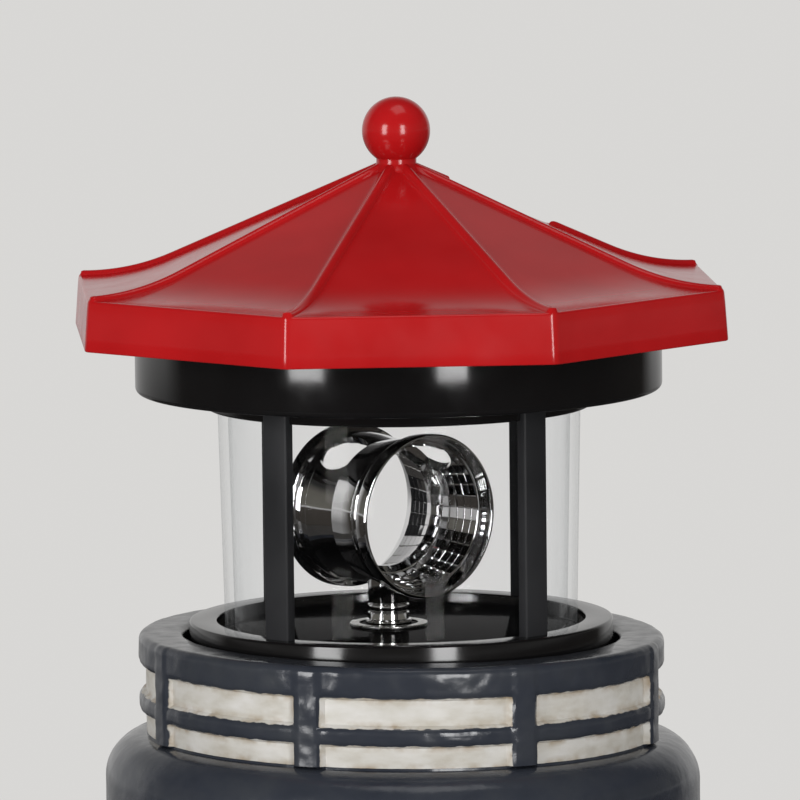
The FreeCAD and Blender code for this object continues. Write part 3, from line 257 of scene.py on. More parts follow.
def plasticFinish(name, dark, light, roughness, grainScale, grainDepth, waveDepth=0.0, waveScale=60.0):
    # Moulded plastic: slow colour drift, uneven gloss and a little surface grain.
    finish, tree, shader = newFinish(name, light, roughness[1])
    drift = cloud(tree, 45, 3)
    tree.links.new(ramp(tree, drift, [(0.3, dark), (0.7, light)]), shader.inputs["Base Color"])
    tree.links.new(remap(tree, cloud(tree, 140, 4), 0.3, 0.7, *roughness), shader.inputs["Roughness"])
    addBump(tree, shader, cloud(tree, grainScale, 3), 0.5, grainDepth)
    if waveDepth:
        addBump(tree, shader, cloud(tree, waveScale, 1), 0.6, waveDepth)
    return finish


def metalFinish(name, dark, light, roughness, grainScale=900, grainDepth=0.004, stretch=(1, 1, 1)):
    finish, tree, shader = newFinish(name, light, roughness[1], 1.0)
    drift = cloud(tree, 160, 3, stretch)
    tree.links.new(ramp(tree, drift, [(0.3, dark), (0.7, light)]), shader.inputs["Base Color"])
    tree.links.new(remap(tree, cloud(tree, 400, 4, stretch), 0.3, 0.7, *roughness),
                   shader.inputs["Roughness"])
    addBump(tree, shader, cloud(tree, grainScale, 3, stretch), 0.4, grainDepth)
    return finish


redGloss = plasticFinish("red_gloss_plastic", (0.36, 0.0055, 0.0065), (0.43, 0.008, 0.0095),
                         (0.13, 0.19), 1500, 0.004, 0.05, 90)
redGloss.node_tree.nodes["Principled BSDF"].inputs["Specular IOR Level"].default_value = 0.40
blackGloss = plasticFinish("black_gloss_plastic", (0.0045, 0.0042, 0.0044), (0.0070, 0.0066, 0.0068),
                           (0.08, 0.15), 1500, 0.003, 0.03, 70)
# Near-black dull finish for the deck's floor; on the bearing bush it is painted shade in the recess.
blackFloorAndRecessShade = plasticFinish("black_floor_and_recess_shade", (0.0030, 0.0030, 0.0032), (0.0050, 0.0050, 0.0052),
                           (0.28, 0.40), 1500, 0.006)
for socket, level in (("Specular IOR Level", 0.0), ("Coat Weight", 0.12), ("Coat Roughness", 0.08)):
    blackFloorAndRecessShade.node_tree.nodes["Principled BSDF"].inputs[socket].default_value = level
blackSatin = plasticFinish("black_satin_plastic", (0.013, 0.0132, 0.0148), (0.024, 0.0243, 0.0262),
                           (0.42, 0.58), 2600, 0.03)
blackSatin.node_tree.nodes["Principled BSDF"].inputs["Specular IOR Level"].default_value = 0.28
nylonWhite = plasticFinish("white_nylon", (0.60, 0.59, 0.55), (0.72, 0.71, 0.67),
                           (0.40, 0.55), 1800, 0.01)
greyFrame = plasticFinish("grey_frame_plastic", (0.09, 0.09, 0.095), (0.13, 0.13, 0.135),
                          (0.35, 0.5), 2000, 0.015)
leadJacket = plasticFinish("lead_jacket", (0.010, 0.010, 0.011), (0.018, 0.018, 0.019),
                           (0.35, 0.5), 2200, 0.01)
chrome = metalFinish("chrome_plate", (0.80, 0.80, 0.81), (0.90, 0.90, 0.90), (0.035, 0.07), 700, 0.002)
bushSteel = metalFinish("bush_steel", (0.52, 0.52, 0.50), (0.64, 0.64, 0.62), (0.22, 0.34),
                        1400, 0.006)
motorSteel = metalFinish("motor_steel", (0.46, 0.46, 0.47), (0.60, 0.60, 0.61), (0.25, 0.40),
                         1200, 0.006, (1, 1, 6))
screwSteel = metalFinish("screw_steel", (0.42, 0.42, 0.43), (0.58, 0.58, 0.59), (0.25, 0.42),
                         1600, 0.006)


def paintedResin():
    # Slate and off-white hand paint on cast resin; slateReach says how far a point is inside the slate.
    finish, tree, shader = newFinish("painted_resin", (0.05, 0.055, 0.07), 0.3)
    reach = tree.nodes.new("ShaderNodeAttribute")
    reach.attribute_name = "slateReach"
    wobble = remap(tree, cloud(tree, 420, 3), 0.3, 0.7, -0.16, 0.16)
    edge = combine(tree, "ADD", reach.outputs["Fac"], wobble)
    isSlate = remap(tree, edge, -0.07, 0.07, 0.0, 1.0)
    slate = ramp(tree, cloud(tree, 90, 4),
                 [(0.25, (0.021, 0.025, 0.034)), (0.5, (0.030, 0.034, 0.044)), (0.8, (0.042, 0.046, 0.052))])
    white = ramp(tree, cloud(tree, 130, 5, (1, 1, 2.5)),
                 [(0.25, (0.42, 0.385, 0.32)), (0.5, (0.54, 0.52, 0.475)), (0.75, (0.62, 0.605, 0.58))])
    stainReach = remap(tree, edge, -1.6, -0.1, 0.0, 1.0)
    blotches = remap(tree, cloud(tree, 260, 4), 0.42, 0.64, 0.0, 0.85)
    stain = combine(tree, "MULTIPLY", stainReach, blotches)
    weathered = mixColours(tree, stain, white, (0.30, 0.22, 0.13))
    tree.links.new(mixColours(tree, isSlate, weathered, slate), shader.inputs["Base Color"])
    gloss = remap(tree, cloud(tree, 300, 4), 0.3, 0.7, 0.0, 0.12)
    base = remap(tree, isSlate, 0.0, 1.0, 0.42, 0.13)
    tree.links.new(combine(tree, "ADD", gloss, base), shader.inputs["Roughness"])
    addBump(tree, shader, cloud(tree, 700, 4), 0.5, 0.05)
    addBump(tree, shader, cloud(tree, 240, 2), 0.6, 0.16)
    return finish


def clearPlastic(name, tint, milkColour, haze):
    # Thin clear plastic: see-through when faced, glossy and a little tinted where it turns away.
    finish = bpy.data.materials.new(name)
    finish.use_nodes = True
    tree = finish.node_tree
    tree.nodes.remove(tree.nodes["Principled BSDF"])
    output = tree.nodes["Material Output"]
    through = tree.nodes.new("ShaderNodeBsdfTransparent")
    shine = tree.nodes.new("ShaderNodeBsdfGlossy")
    milk = tree.nodes.new("ShaderNodeBsdfDiffuse")
    tree.links.new(ramp(tree, cloud(tree, 80, 3), [(0.3, milkColour), (0.7, tint)]), milk.inputs["Color"])
    facing = tree.nodes.new("ShaderNodeLayerWeight")
    facing.inputs["Blend"].default_value = 0.5
    turned = facing.outputs["Facing"]
    edgeTint = tuple(0.97 * part for part in tint)
    tree.links.new(ramp(tree, turned, [(0.0, (0.99, 0.99, 0.992)), (0.8, tint), (1.0, edgeTint)]),
                   through.inputs["Color"])
    smears = remap(tree, cloud(tree, 60, 4, (1, 1, 0.3)), 0.35, 0.65, 0.75, 1.0)
    tree.links.new(remap(tree, smears, 0.75, 1.0, 0.05, 0.03), shine.inputs["Roughness"])
    bands = remap(tree, cloud(tree, 230, 2, (1, 1, 0.02)), 0.35, 0.65, 0.2, 1.0)
    veil = tree.nodes.new("ShaderNodeMixShader")
    amount = combine(tree, "MULTIPLY", combine(tree, "POWER", turned, 3.0), haze)
    tree.links.new(combine(tree, "MULTIPLY", amount, bands), veil.inputs["Fac"])
    tree.links.new(through.outputs[0], veil.inputs[1])
    tree.links.new(milk.outputs[0], veil.inputs[2])
    gleam = combine(tree, "MULTIPLY_ADD", combine(tree, "POWER", turned, 5.0), 0.38, 0.004)
    mix = tree.nodes.new("ShaderNodeMixShader")
    tree.links.new(combine(tree, "MULTIPLY", gleam, smears), mix.inputs["Fac"])
    tree.links.new(veil.outputs[0], mix.inputs[1])
    tree.links.new(shine.outputs[0], mix.inputs[2])
    tree.links.new(mix.outputs[0], output.inputs["Surface"])
    relief = tree.nodes.new("ShaderNodeBump")
    relief.inputs["Strength"].default_value = 0.3
    relief.inputs["Distance"].default_value = 0.02 * mm
    tree.links.new(cloud(tree, 50, 2, (1, 1, 0.3)), relief.inputs["Height"])
    tree.links.new(relief.outputs["Normal"], shine.inputs["Normal"])
    return finish


sleeveClear = clearPlastic("clear_sleeve_plastic", (0.985, 0.99, 0.993), (0.80, 0.82, 0.83), 0.16)
lampClear = clearPlastic("clear_lamp_epoxy", (0.90, 0.92, 0.92), (0.7, 0.72, 0.72), 0.4)

resinPaint = paintedResin()


def solarCellFinish():
    finish, tree, shader = newFinish("solar_cell", (0.01, 0.014, 0.035), 0.12)
    flakes = tree.nodes.new("ShaderNodeTexVoronoi")
    flakes.inputs["Scale"].default_value = 420
    place = tree.nodes.new("ShaderNodeTexCoord")
    tree.links.new(place.outputs["Object"], flakes.inputs["Vector"])
    tree.links.new(ramp(tree, flakes.outputs["Distance"], [(0.0, (0.006, 0.009, 0.026)),
                                                           (1.0, (0.014, 0.022, 0.060))]),
                   shader.inputs["Base Color"])
    tree.links.new(remap(tree, cloud(tree, 200, 3), 0.3, 0.7, 0.08, 0.2), shader.inputs["Roughness"])
    addBump(tree, shader, cloud(tree, 900, 2), 0.3, 0.01)
    return finish


solarBlue = solarCellFinish()
cellWrap = plasticFinish("cell_wrap", (0.02, 0.16, 0.07), (0.03, 0.22, 0.10), (0.2, 0.3), 1500, 0.006)
boardGreen = plasticFinish("board_green", (0.012, 0.075, 0.03), (0.02, 0.11, 0.045),
                           (0.25, 0.4), 1200, 0.02)


tower = {
    "columns": 480,
    "insetRadius": 51.2,
    "railProud": 1.4,
    "postProud": 1.62,
    "railRound": 1.5,
    "postHalfWidth": 3.05,
    "postRound": 1.15,
    "midRail": (232.8, 236.9),       # lower and upper edge
    "topRail": (242.1, 248.5),
    "postHeadings": (-69.5, -24.9, 23.3, 69.0, 113.0, 158.0, -158.0, -113.0),
    "galleryFoot": 228.2,
    "top": 248.5,
    "rimRound": 1.5,
    "lean": -0.0155,                 # the hand-cast gallery stands a little out of level
    "wallFoot": 24.0,
    "wallTop": 190.0,
    "wallFootRadius": 57.5,
    "wallTaper": 10.0,
    "coveDepth": 12.0,
    "coveHeight": 19.0,
    "ledgeRadius": 59.5,
    "ledgeTop": 219.5,
    "wellRadius": 43.6,
    "wellFloor": 204.5,
    "bandHeight": 14.0,
    "bandRise": 0.9,
}
storeyHeight = (tower["wallTop"] - tower["wallFoot"]) / 3


def bandEdges(number):
    middle = tower["wallFoot"] + number * storeyHeight
    return middle - tower["bandHeight"] / 2, middle + tower["bandHeight"] / 2


tower["bands"] = [bandEdges(number) for number in (1, 2)]


def reliefRise(inside, rounding):
    # Height of a raised strip, from 0 to 1, at a distance inside its edge.
    if inside <= 0:
        return 0.0
    share = min(1.0, inside / rounding)
    return math.sqrt(1 - (1 - share) ** 2)


def galleryRelief(heading, height, lump):
    wobble = 0.16 * lump
    rails = 0.0
    insideRail = -9.0
    for low, high in (tower["midRail"], tower["topRail"]):
        inside = min(height - low, 99.0 if high == tower["top"] else high - height) + wobble
        insideRail = max(insideRail, inside)
        rails = max(rails, tower["railProud"] * reliefRise(inside, tower["railRound"]))
    insidePost = -9.0
    for place in tower["postHeadings"]:
        offset = abs((heading - place + 180) % 360 - 180)
        insidePost = max(insidePost, tower["postHalfWidth"] + wobble - math.radians(offset) * 52.0)
    posts = tower["postProud"] * reliefRise(insidePost, tower["postRound"])
    foot = tower["galleryFoot"] + 0.5 - height + wobble
    return max(rails, posts), max(insideRail, insidePost, foot)


def wallRadius(height):
    wallHeight = tower["wallTop"] - tower["wallFoot"]
    return tower["wallFootRadius"] - tower["wallTaper"] * (height - tower["wallFoot"]) / wallHeight


def towerRows():
    # (radius, height, kind) down the middle of the vent recess, up the outside and down into the well.
    rows = [(0, 8, "plain"), (3.9, 8, "plain"), (4, 7.9, "plain"), (4, 0.3, "plain"), (4.3, 0, "plain")]
    base = softened([(30, 0), (68, 0, 0.9), (68, 14, 2.5), (62.5, 14, 1.2), (62.5, 24, 2.5),
                     (57.5, 24, 1.6), (wallRadius(40), 40)], 6, closed=False)
    rows += [(radius, height, "base") for radius, height in base]
    for low, high in tower["bands"]:
        rise = tower["bandRise"]
        rows.append((wallRadius((rows[-1][1] + low) / 2), (rows[-1][1] + low) / 2, "wall"))
        band = softened([(wallRadius(low - 5), low - 5), (wallRadius(low), low, 0.4),
                         (wallRadius(low) + rise, low, 0.4), (wallRadius(high) + rise, high, 0.4),
                         (wallRadius(high), high, 0.4), (wallRadius(high + 5), high + 5)], 3, False)
        rows += [(radius, height, "wall") for radius, height in band]
    rows += [(wallRadius(height), height, "wall") for height in (155, 165, 175, 184, tower["wallTop"])]
    for step in range(1, 15):
        angle = math.pi / 2 * step / 14
        rows.append((tower["ledgeRadius"] - tower["coveDepth"] * math.cos(angle),
                     tower["wallTop"] + tower["coveHeight"] * math.sin(angle), "cove"))
    rows += [(59.6, 210.5, "ledge"), (59.55, 214, "ledge"), (tower["ledgeRadius"], 217, "ledge"),
             (tower["ledgeRadius"], tower["ledgeTop"], "ledge")]
    for step in range(1, 15):
        angle = math.pi / 2 * step / 14
        rows.append((tower["insetRadius"] + 8.3 * math.cos(angle),
                     tower["ledgeTop"] + 8.7 * math.sin(angle), "ledge"))
    height = tower["galleryFoot"]
    rimFoot = tower["top"] - tower["rimRound"]
    railEdges = (*tower["midRail"], tower["topRail"][0])
    while height < rimFoot:
        fine = any(abs(height - edge) < 1.7 for edge in railEdges)
        height += 0.3 if fine else 0.55
        rows.append((tower["insetRadius"], height, "gallery"))
    for angle in (15, 30, 45, 60, 75, 90):
        turn = math.radians(angle)
        rows.append((tower["insetRadius"] - tower["rimRound"] * (1 - math.cos(turn)),
                     rimFoot + tower["rimRound"] * math.sin(turn), "rim"))
    rows += [(49.0, tower["top"], "rim"), (46.8, tower["top"], "flat")]
    for angle in (0, 30, 60, 90):
        turn = math.radians(angle)
        rows.append((44.8 - 1.2 * math.sin(turn), 247.3 + 1.2 * math.cos(turn), "flat"))
    rows += [(tower["wellRadius"], 236, "flat"), (tower["wellRadius"], tower["wellFloor"] + 0.1, "flat"),
             (tower["wellRadius"] - 0.1, tower["wellFloor"], "flat"), (0, tower["wellFloor"], "flat")]
    return rows


def slateReachAt(kind, height, inside):
    if kind in ("base", "cove", "ledge", "flat", "rim", "plain"):
        if kind == "cove":
            return min(3.0, height - 192.0)
        return 3.0
    if kind == "gallery":
        return inside - 0.35
    reach = -3.0
    for low, high in tower["bands"]:
        reach = max(reach, min(height - low + 0.3, high - height + 0.3))
    return max(-3.0, min(3.0, max(reach, 30.0 - height)))


def towerShape():
    rows = towerRows()
    columns = tower["columns"]
    shape = bmesh.new()
    bmesh.ops.create_grid(shape, x_segments=columns, y_segments=len(rows) - 1, size=0.5)
    layer = shape.verts.layers.float.new("slateReach")
    for corner in shape.verts:
        heading = (corner.co.x + 0.5) * 360.0
        radius, height, kind = rows[round((corner.co.y + 0.5) * (len(rows) - 1))]
        out = headingVector(heading)
        place = out * radius + Vector((0, 0, height))
        slow = noise.noise(place * 0.16)
        quick = noise.noise(place * 0.42 + Vector((7, 3, 1)))
        inside = 3.0
        rise = 0.0
        if kind in ("gallery", "rim"):
            rise, inside = galleryRelief(heading, min(height, tower["top"] - tower["rimRound"]), quick)
            rise += (0.10 * slow + 0.10 * quick) * (1.0 if kind == "gallery" else 0.6)
        elif kind == "ledge":
            rise = 0.25 * noise.noise(place * 0.05) + 0.10 * slow
        elif kind in ("wall", "cove", "base"):
            rise = 0.20 * noise.noise(place * 0.05) + 0.06 * slow - 0.2
        corner[layer] = slateReachAt(kind, height, inside)
        lift = tower["lean"] * place.x * easeBetween(200.0, 226.0, height)
        if kind in ("flat", "rim"):
            lift += 0.08 * slow
        raised = height + (lift if height > 206 else 0)
        corner.co = (out * (radius + rise) + Vector((0, 0, raised))) * mm
    bmesh.ops.remove_doubles(shape, verts=shape.verts, dist=1e-7)
    return shape


def archShape(width, height, near, far, sill, rounding=0.5):
    # A round-headed slab facing the front, from y = near back to y = far.
    shape = bmesh.new()
    half = width / 2
    spring = sill + height - half
    outline = [shape.verts.new((side * half * mm, near * mm, sill * mm)) for side in (-1, 1)]
    for step in range(17):
        angle = math.pi * step / 16
        outline.append(shape.verts.new((half * math.cos(angle) * mm, near * mm,
                                        (spring + half * math.sin(angle)) * mm)))
    face = shape.faces.new(outline)
    sides = bmesh.ops.extrude_face_region(shape, geom=[face])
    back = [item for item in sides["geom"] if isinstance(item, bmesh.types.BMVert)]
    bmesh.ops.translate(shape, vec=(0, (far - near) * mm, 0), verts=back)
    bmesh.ops.recalc_face_normals(shape, faces=shape.faces)
    if rounding:
        front = [edge for edge in shape.edges
                 if all(abs(corner.co.y - near * mm) < 1e-7 for corner in edge.verts)]
        bmesh.ops.bevel(shape, geom=front, offset=rounding * mm, offset_type="OFFSET", segments=3,
                        profile=0.5, affect="EDGES", material=-1)
    return shape


def paintReach(shape, reach):
    layer = shape.verts.layers.float.get("slateReach") or shape.verts.layers.float.new("slateReach")
    for corner in shape.verts:
        corner[layer] = reach
    return shape


door = {"width": 25.0, "height": 36.0, "frame": 4.0, "proud": 3.0, "recess": 2.0, "planks": 5,
        "stepReach": (6.0, 1.0), "stepHeight": 5.0}
window = {"width": 11.0, "height": 19.0, "frame": 2.6, "proud": 2.2, "recess": 1.6, "sillShare": 0.42,
          "places": ((0, 1), (100, 0), (180, 1), (-100, 0), (60, 2), (-60, 2), (180, 2))}   # heading, storey


def doorShapes():
    front = -(wallRadius(24) + door["proud"])
    wide = door["width"] + 2 * door["frame"]
    surround = archShape(wide, door["height"] + door["frame"], front, -44, 23.5, 0.6)
    hole = archShape(door["width"], door["height"] + 0.5, front - 1,
                     front + door["recess"], 23.5, 0)
    surround = paintReach(cutBy(surround, [hole]), 3.0)
    planks = []
    for number in range(door["planks"]):
        width = door["width"] / door["planks"]
        middle = -door["width"] / 2 + width * (number + 0.5)
        slab = boxShape((middle - width / 2 + 0.12, front + 1.1, 24.0),
                        (middle + width / 2 - 0.12, front + 3.0, 61.0), 0.3)
        planks.append(cutBy(slab, [archShape(door["width"] - 0.3, door["height"] - 0.2,
                                             front - 1, front + 6, 24.0, 0)], "INTERSECT"))
    steps = []
    for number, reach in enumerate(door["stepReach"]):
        half = door["width"] / 2 + door["frame"] + 4 - 2 * number
        high = 14.0 + door["stepHeight"] * (number + 1)
        slab = boxShape((-half, -62.5 - reach, 13.0), (half, -44.0, high), 0.6)
        outside = spun([(0, 5), (65.3, 5), (65.3, 30), (0, 30)], 160, False)
        steps.append(cutBy(slab, [outside], "INTERSECT"))
    return surround, paintReach(joined(planks), 3.0), paintReach(joined(steps), 3.0)


def windowShapes():
    frames, glazing = [], []
    for heading, storey in window["places"]:
        sill = tower["wallFoot"] + (storey + window["sillShare"]) * storeyHeight
        front = -(wallRadius(sill) + window["proud"])
        rim = window["frame"]
        frameShape = archShape(window["width"] + 2 * rim, window["height"] + 2 * rim,
                               front, -41, sill - rim, 0.5)
        hole = archShape(window["width"], window["height"], front - 1,
                         front + window["recess"], sill, 0)
        frames.append(moved(cutBy(frameShape, [hole]), turnedTo(heading)))
        near, far = front + 0.7, front + 2.0
        bars = [boxShape((-0.45, near, sill), (0.45, far, sill + 18.7), 0.2)]
        for low in (6.0, 12.4):
            bars.append(boxShape((-5.4, near, sill + low), (5.4, far, sill + low + 0.8), 0.2))
        glazing.append(moved(joined(bars), turnedTo(heading)))
    return paintReach(joined(frames), 3.0), paintReach(joined(glazing), -3.0)


addPiece("tower_casting", joined([towerShape(), *doorShapes(), *windowShapes()]),
         resinPaint, "tower", ["tower_casting"], 32)
print("tower done")


deck = {"top": 251.5, "floor": 250.0, "radius": 42.4, "grooveOuter": 36.9, "grooveInner": 33.05,
        "grooveFoot": 248.5, "under": 246.0, "skirtFoot": 240.0, "skirtInner": 40.5,
        "bossRadius": 8.2, "bossTop": 250.15}
shaftX = -2.5

deckLine = softened([(0, deck["under"]), (deck["skirtInner"], deck["under"], 0.5),
                     (deck["skirtInner"], deck["skirtFoot"], 0.3),
                     (deck["radius"], deck["skirtFoot"], 0.4),
                     (deck["radius"], deck["top"], 0.5),
                     (deck["grooveOuter"], deck["top"], 0.3),
                     (deck["grooveOuter"], deck["grooveFoot"], 0.3),
                     (deck["grooveInner"], deck["grooveFoot"], 0.3),
                     (deck["grooveInner"], deck["floor"], 0.25), (0, deck["floor"])], 4, closed=False)
bossLine = softened([(0, 249), (deck["bossRadius"], 249), (deck["bossRadius"], deck["bossTop"], 0.1),
                     (0, deck["bossTop"])], 3, False)


def useSecondFinish(shape, above, within):
    for face in shape.faces:
        middle = face.calc_center_median() / mm
        if middle.z > above and math.hypot(middle.x, middle.y) < within:
            face.material_index = 1


def deckShape():
    # The ring is glossy; the floor inside the sleeve has a duller second finish.
    boss = moved(spun(bossLine, 96, False), turnedTo(0, shaftX))
    whole = joined([spun(deckLine, 256, False), boss])
    useSecondFinish(whole, deck["floor"] - 0.1, deck["grooveInner"] - 0.2)
    return whole


addPiece("deck_plate", deckShape(), [blackGloss, blackFloorAndRecessShade], "lantern", ["deck_plate"])

bush = {"bore": 4.15, "radius": 5.2, "flange": 7.8, "recess": 5.9, "top": 250.6, "recessFloor": 250.4}
bushLine = softened([(bush["bore"], deck["under"]), (bush["radius"], deck["under"]),
                     (bush["radius"], deck["bossTop"]),
                     (bush["flange"], deck["bossTop"], 0.08), (bush["flange"], bush["top"], 0.15),
                     (bush["recess"], bush["top"], 0.06), (bush["recess"], bush["recessFloor"]),
                     (bush["bore"], bush["recessFloor"])], 3)


def bushShape():
    # The recess round the shaft gets the near-black floor finish as painted shade for the shadow in it.
    ring = spun(bushLine, 128)
    useSecondFinish(ring, bush["recessFloor"] - 0.1, bush["recess"])
    return moved(ring, turnedTo(0, shaftX))


addPiece("bearing_bush", bushShape(), [bushSteel, blackFloorAndRecessShade], "lantern", ["bearing_bush"])

post = {"radius": 38.5, "width": 5.8, "thickness": 2.4, "low": 248.55, "high": 298.95, "round": 0.35,
        "headings": {"front_left_post": -42.2, "front_right_post": 38.6, "rear_right_post": 135.3,
                     "rear_left_post": -143.3}}


def postShape(name):
    half = post["width"] / 2
    bar = boxShape((-half, -post["radius"] - post["thickness"] / 2, post["low"]),
                   (half, -post["radius"] + post["thickness"] / 2, post["high"]), post["round"], 3)
    if name == "rear_left_post":
        lane = boxShape((-0.8, -37.6, post["low"] - 1), (0.8, -36.0, post["high"] + 1))
        bar = cutBy(bar, [lane])
    return moved(bar, turnedTo(post["headings"][name]))


for postName in post["headings"]:
    addPiece(postName, postShape(postName), blackSatin, "lantern", [postName])
print("deck and posts done")


sleeve = {"footRadius": 35.2, "topRadius": 36.3, "wall": 2.0, "foot": 248.5, "top": 297.3}
sleeveLine = softened([(sleeve["footRadius"] - sleeve["wall"], sleeve["foot"], 0.3),
                       (sleeve["footRadius"], sleeve["foot"], 0.4),
                       (sleeve["topRadius"], sleeve["top"], 0.4),
                       (sleeve["topRadius"] - sleeve["wall"], sleeve["top"], 0.3)], 3)
addPiece("glazing_sleeve", spun(sleeveLine, 256), sleeveClear, "lantern",
         ["glazing_sleeve"])


drum = {"radius": 52.6, "under": 297.5, "top": 311.5, "floor": 300.0, "wall": 2.2, "round": 1.2,
        "collarRadius": 38.5, "collarUnder": 294.2, "grooveInner": 33.9, "grooveOuter": 36.45}
drumInner = drum["radius"] - drum["wall"]
drumLine = softened([(0, drum["collarUnder"]),
                     (drum["grooveInner"], drum["collarUnder"], 0.3), (drum["grooveInner"], drum["under"]),
                     (drum["grooveOuter"], drum["under"]), (drum["grooveOuter"], drum["collarUnder"], 0.3),
                     (drum["collarRadius"], drum["collarUnder"], 0.5),
                     (drum["collarRadius"], drum["under"], 0.3),
                     (drum["radius"], drum["under"], drum["round"]),
                     (drum["radius"], drum["top"], 0.3), (drumInner, drum["top"], 0.3),
                     (drumInner, drum["floor"], 0.8), (0, drum["floor"])], 5, False)
addPiece("roof_base", spun(drumLine, 288, False), blackGloss, "lantern", ["roof_base"])
print("sleeve and drum done")


roof = {"eaveZ": 318.8, "fasciaZ": 308.8, "apothem": 62.8, "lean": 0.7, "slope": math.radians(25.0),
        "flareRun": 18.5, "cornerRound": 2.2, "edgeRound": 0.6, "ribRadius": 1.15,
        "ribSink": 0.25, "ribEnd": 66.7, "half": math.radians(22.5), "ballZ": 349.2, "ballRadius": 6.8,
        "neckRadius": 4.0, "panelHeading": 135.0}
roof["flareApothem"] = roof["apothem"] - roof["flareRun"]
roof["flareRise"] = roof["flareRun"] * math.tan(roof["slope"] / 2)
roof["arcRadius"] = roof["flareRun"] / math.sin(roof["slope"])


def facetHeight(apothem):
    if apothem <= roof["flareApothem"]:
        rise = (roof["flareApothem"] - apothem) * math.tan(roof["slope"])
        return roof["eaveZ"] + roof["flareRise"] + rise
    short = roof["apothem"] - apothem
    return roof["eaveZ"] + roof["arcRadius"] - math.sqrt(roof["arcRadius"] ** 2 - max(0.0, short) ** 2)


def roofRows():
    # (apothem, height), where None stands for the facet's own height at that apothem.
    straight = (0, 2, 3.5, 5, 6.5, 8, 10, 13, 17, 21, 26, 31, 35, 38, 41, 43, 44.3)
    rows = [(apothem, None) for apothem in straight]
    apothem = roof["flareApothem"]
    while apothem < 59.5:
        apothem += 1.4
        rows.append((apothem, None))
    rows += [(60.3, None), (60.6, None), (61.0, None), (61.4, None), (61.8, None), (62.2, None)]
    for step in (1, 2, 3, 4):
        angle = math.pi / 2 * step / 4
        rows.append((62.2 + roof["edgeRound"] * math.sin(angle),
                     roof["eaveZ"] - roof["edgeRound"] + roof["edgeRound"] * math.cos(angle)))
    for height in (316.5, 314.0, 311.5, 309.2):
        rows.append((roof["apothem"] + roof["lean"] * (roof["eaveZ"] - height) / 10.0, height))
    rows += [(63.42, 308.95), (63.25, roof["fasciaZ"]), (61.7, roof["fasciaZ"]), (61.5, 309.0),
             (60.9, 315.6), (60.5, 316.3), (59.5, 316.75), (44.3, 320.7), (20.0, 332.03),
             (4.0, 339.49), (0.0, 341.36)]
    return rows


def ribHeight(across, along):
    if across >= 1.7:
        return 0.0
    end = 1.0
    if along > roof["ribEnd"]:
        past = (along - roof["ribEnd"]) / roof["ribRadius"]
        if past >= 1:
            return 0.0
        end = math.sqrt(1 - past * past)
    reach = roof["ribRadius"] * end
    crown = math.sqrt(max(0.0, reach * reach - across * across)) - roof["ribSink"]
    tube = 1.089 * crown + 0.1785 * across      # measured upright on the sloping hip
    blendOut = 0.16 * (1 - easeBetween(1.05, 1.7, across)) * end
    return max(0.0, tube if across < reach else 0.0, blendOut if across > 0.9 * reach else 0.0)


def roofSector():
    rows = roofRows()
    sideDistances = [0, 0.15, 0.3, 0.45, 0.6, 0.75, 0.85, 0.95, 1.04, 1.1, 1.15, 1.3, 1.5, 1.8, 2.4]
    middleColumns = 9
    count = 2 * len(sideDistances) + middleColumns - 1
    shape = bmesh.new()
    bmesh.ops.create_grid(shape, x_segments=count, y_segments=len(rows) - 1, size=0.5)
    lastOuter = [number for number, row in enumerate(rows) if row[1] == 309.2][0]
    for corner in shape.verts:
        column = round((corner.co.x + 0.5) * count)
        number = round((corner.co.y + 0.5) * (len(rows) - 1))
        apothem, height = rows[number]
        side = -1 if column < count / 2 else 1
        fromEdge = min(column, count - column)
        halfWidth = apothem * math.tan(roof["half"])
        squeeze = min(1.0, halfWidth * math.cos(roof["half"]) / 2.9)
        if fromEdge < len(sideDistances):
            across = sideDistances[fromEdge] * squeeze
            aside = halfWidth - across / math.cos(roof["half"])
        else:
            edgeAside = halfWidth - sideDistances[-1] * squeeze / math.cos(roof["half"])
            share = (fromEdge - len(sideDistances) + 1) / ((count - 2 * len(sideDistances) + 2) / 2)
            aside = edgeAside * (1 - share)
            across = (halfWidth - aside) * math.cos(roof["half"])
        place = Vector((side * aside, -apothem))
        outer = number <= lastOuter + 2
        cornerLeft = max(0.0, roof["cornerRound"] - max(0.0, roof["apothem"] - apothem)) if outer else 1.0
        if apothem > 58 and cornerLeft > 0 and across < cornerLeft * math.sin(roof["half"]):
            hip = Vector((side * math.sin(roof["half"]), -math.cos(roof["half"])))
            along = Vector((-side * hip.y, side * hip.x)) * -1
            centre = hip * ((apothem - cornerLeft) / math.cos(roof["half"]))
            turn = math.asin(across / cornerLeft)
            inward = Vector((-side * math.cos(roof["half"]), -math.sin(roof["half"])))
            place = centre + (hip * math.cos(turn) + inward * math.sin(turn)) * cornerLeft
        if height is None:
            height = facetHeight(min(-place.y, roof["apothem"]))
            height += ribHeight(across, place.length)
        elif height > 318.1 and number <= lastOuter:
            height += ribHeight(across, place.length) * 0.5
        corner.co = Vector((place.x, place.y, height)) * mm
    return shape


def roofOuter():
    sector = roofSector()
    sectors = [sector]
    for number in range(1, 8):
        sectors.append(moved(sector.copy(), turnedTo(45.0 * number)))
    whole = joined(sectors)
    bmesh.ops.remove_doubles(whole, verts=whole.verts, dist=2e-6)
    return whole


def onFacet(shape, apothem):
    # Lays a shape drawn on the flat against the panel's facet, from this apothem outwards.
    tilt = Matrix.Rotation(roof["slope"], 4, "X")
    place = Matrix.Translation((0, -apothem * mm, facetHeight(apothem) * mm))
    return moved(moved(shape, place @ tilt), turnedTo(roof["panelHeading"]))


def facetBlock(width, lowApothem, highApothem, lowDepth, highDepth, rounding=0.0):
    length = (highApothem - lowApothem) / math.cos(roof["slope"])
    block = boxShape((-width / 2, -length, -highDepth), (width / 2, 0, -lowDepth), rounding)
    return onFacet(block, lowApothem)


panel = {"width": 27.0, "low": 10.4, "high": 10.4 + 38.0 * math.cos(math.radians(25.0)), "recess": 3.2,
         "thickness": 2.0, "play": 0.4, "seat": 1.6, "trayWall": 1.2, "cells": 4}


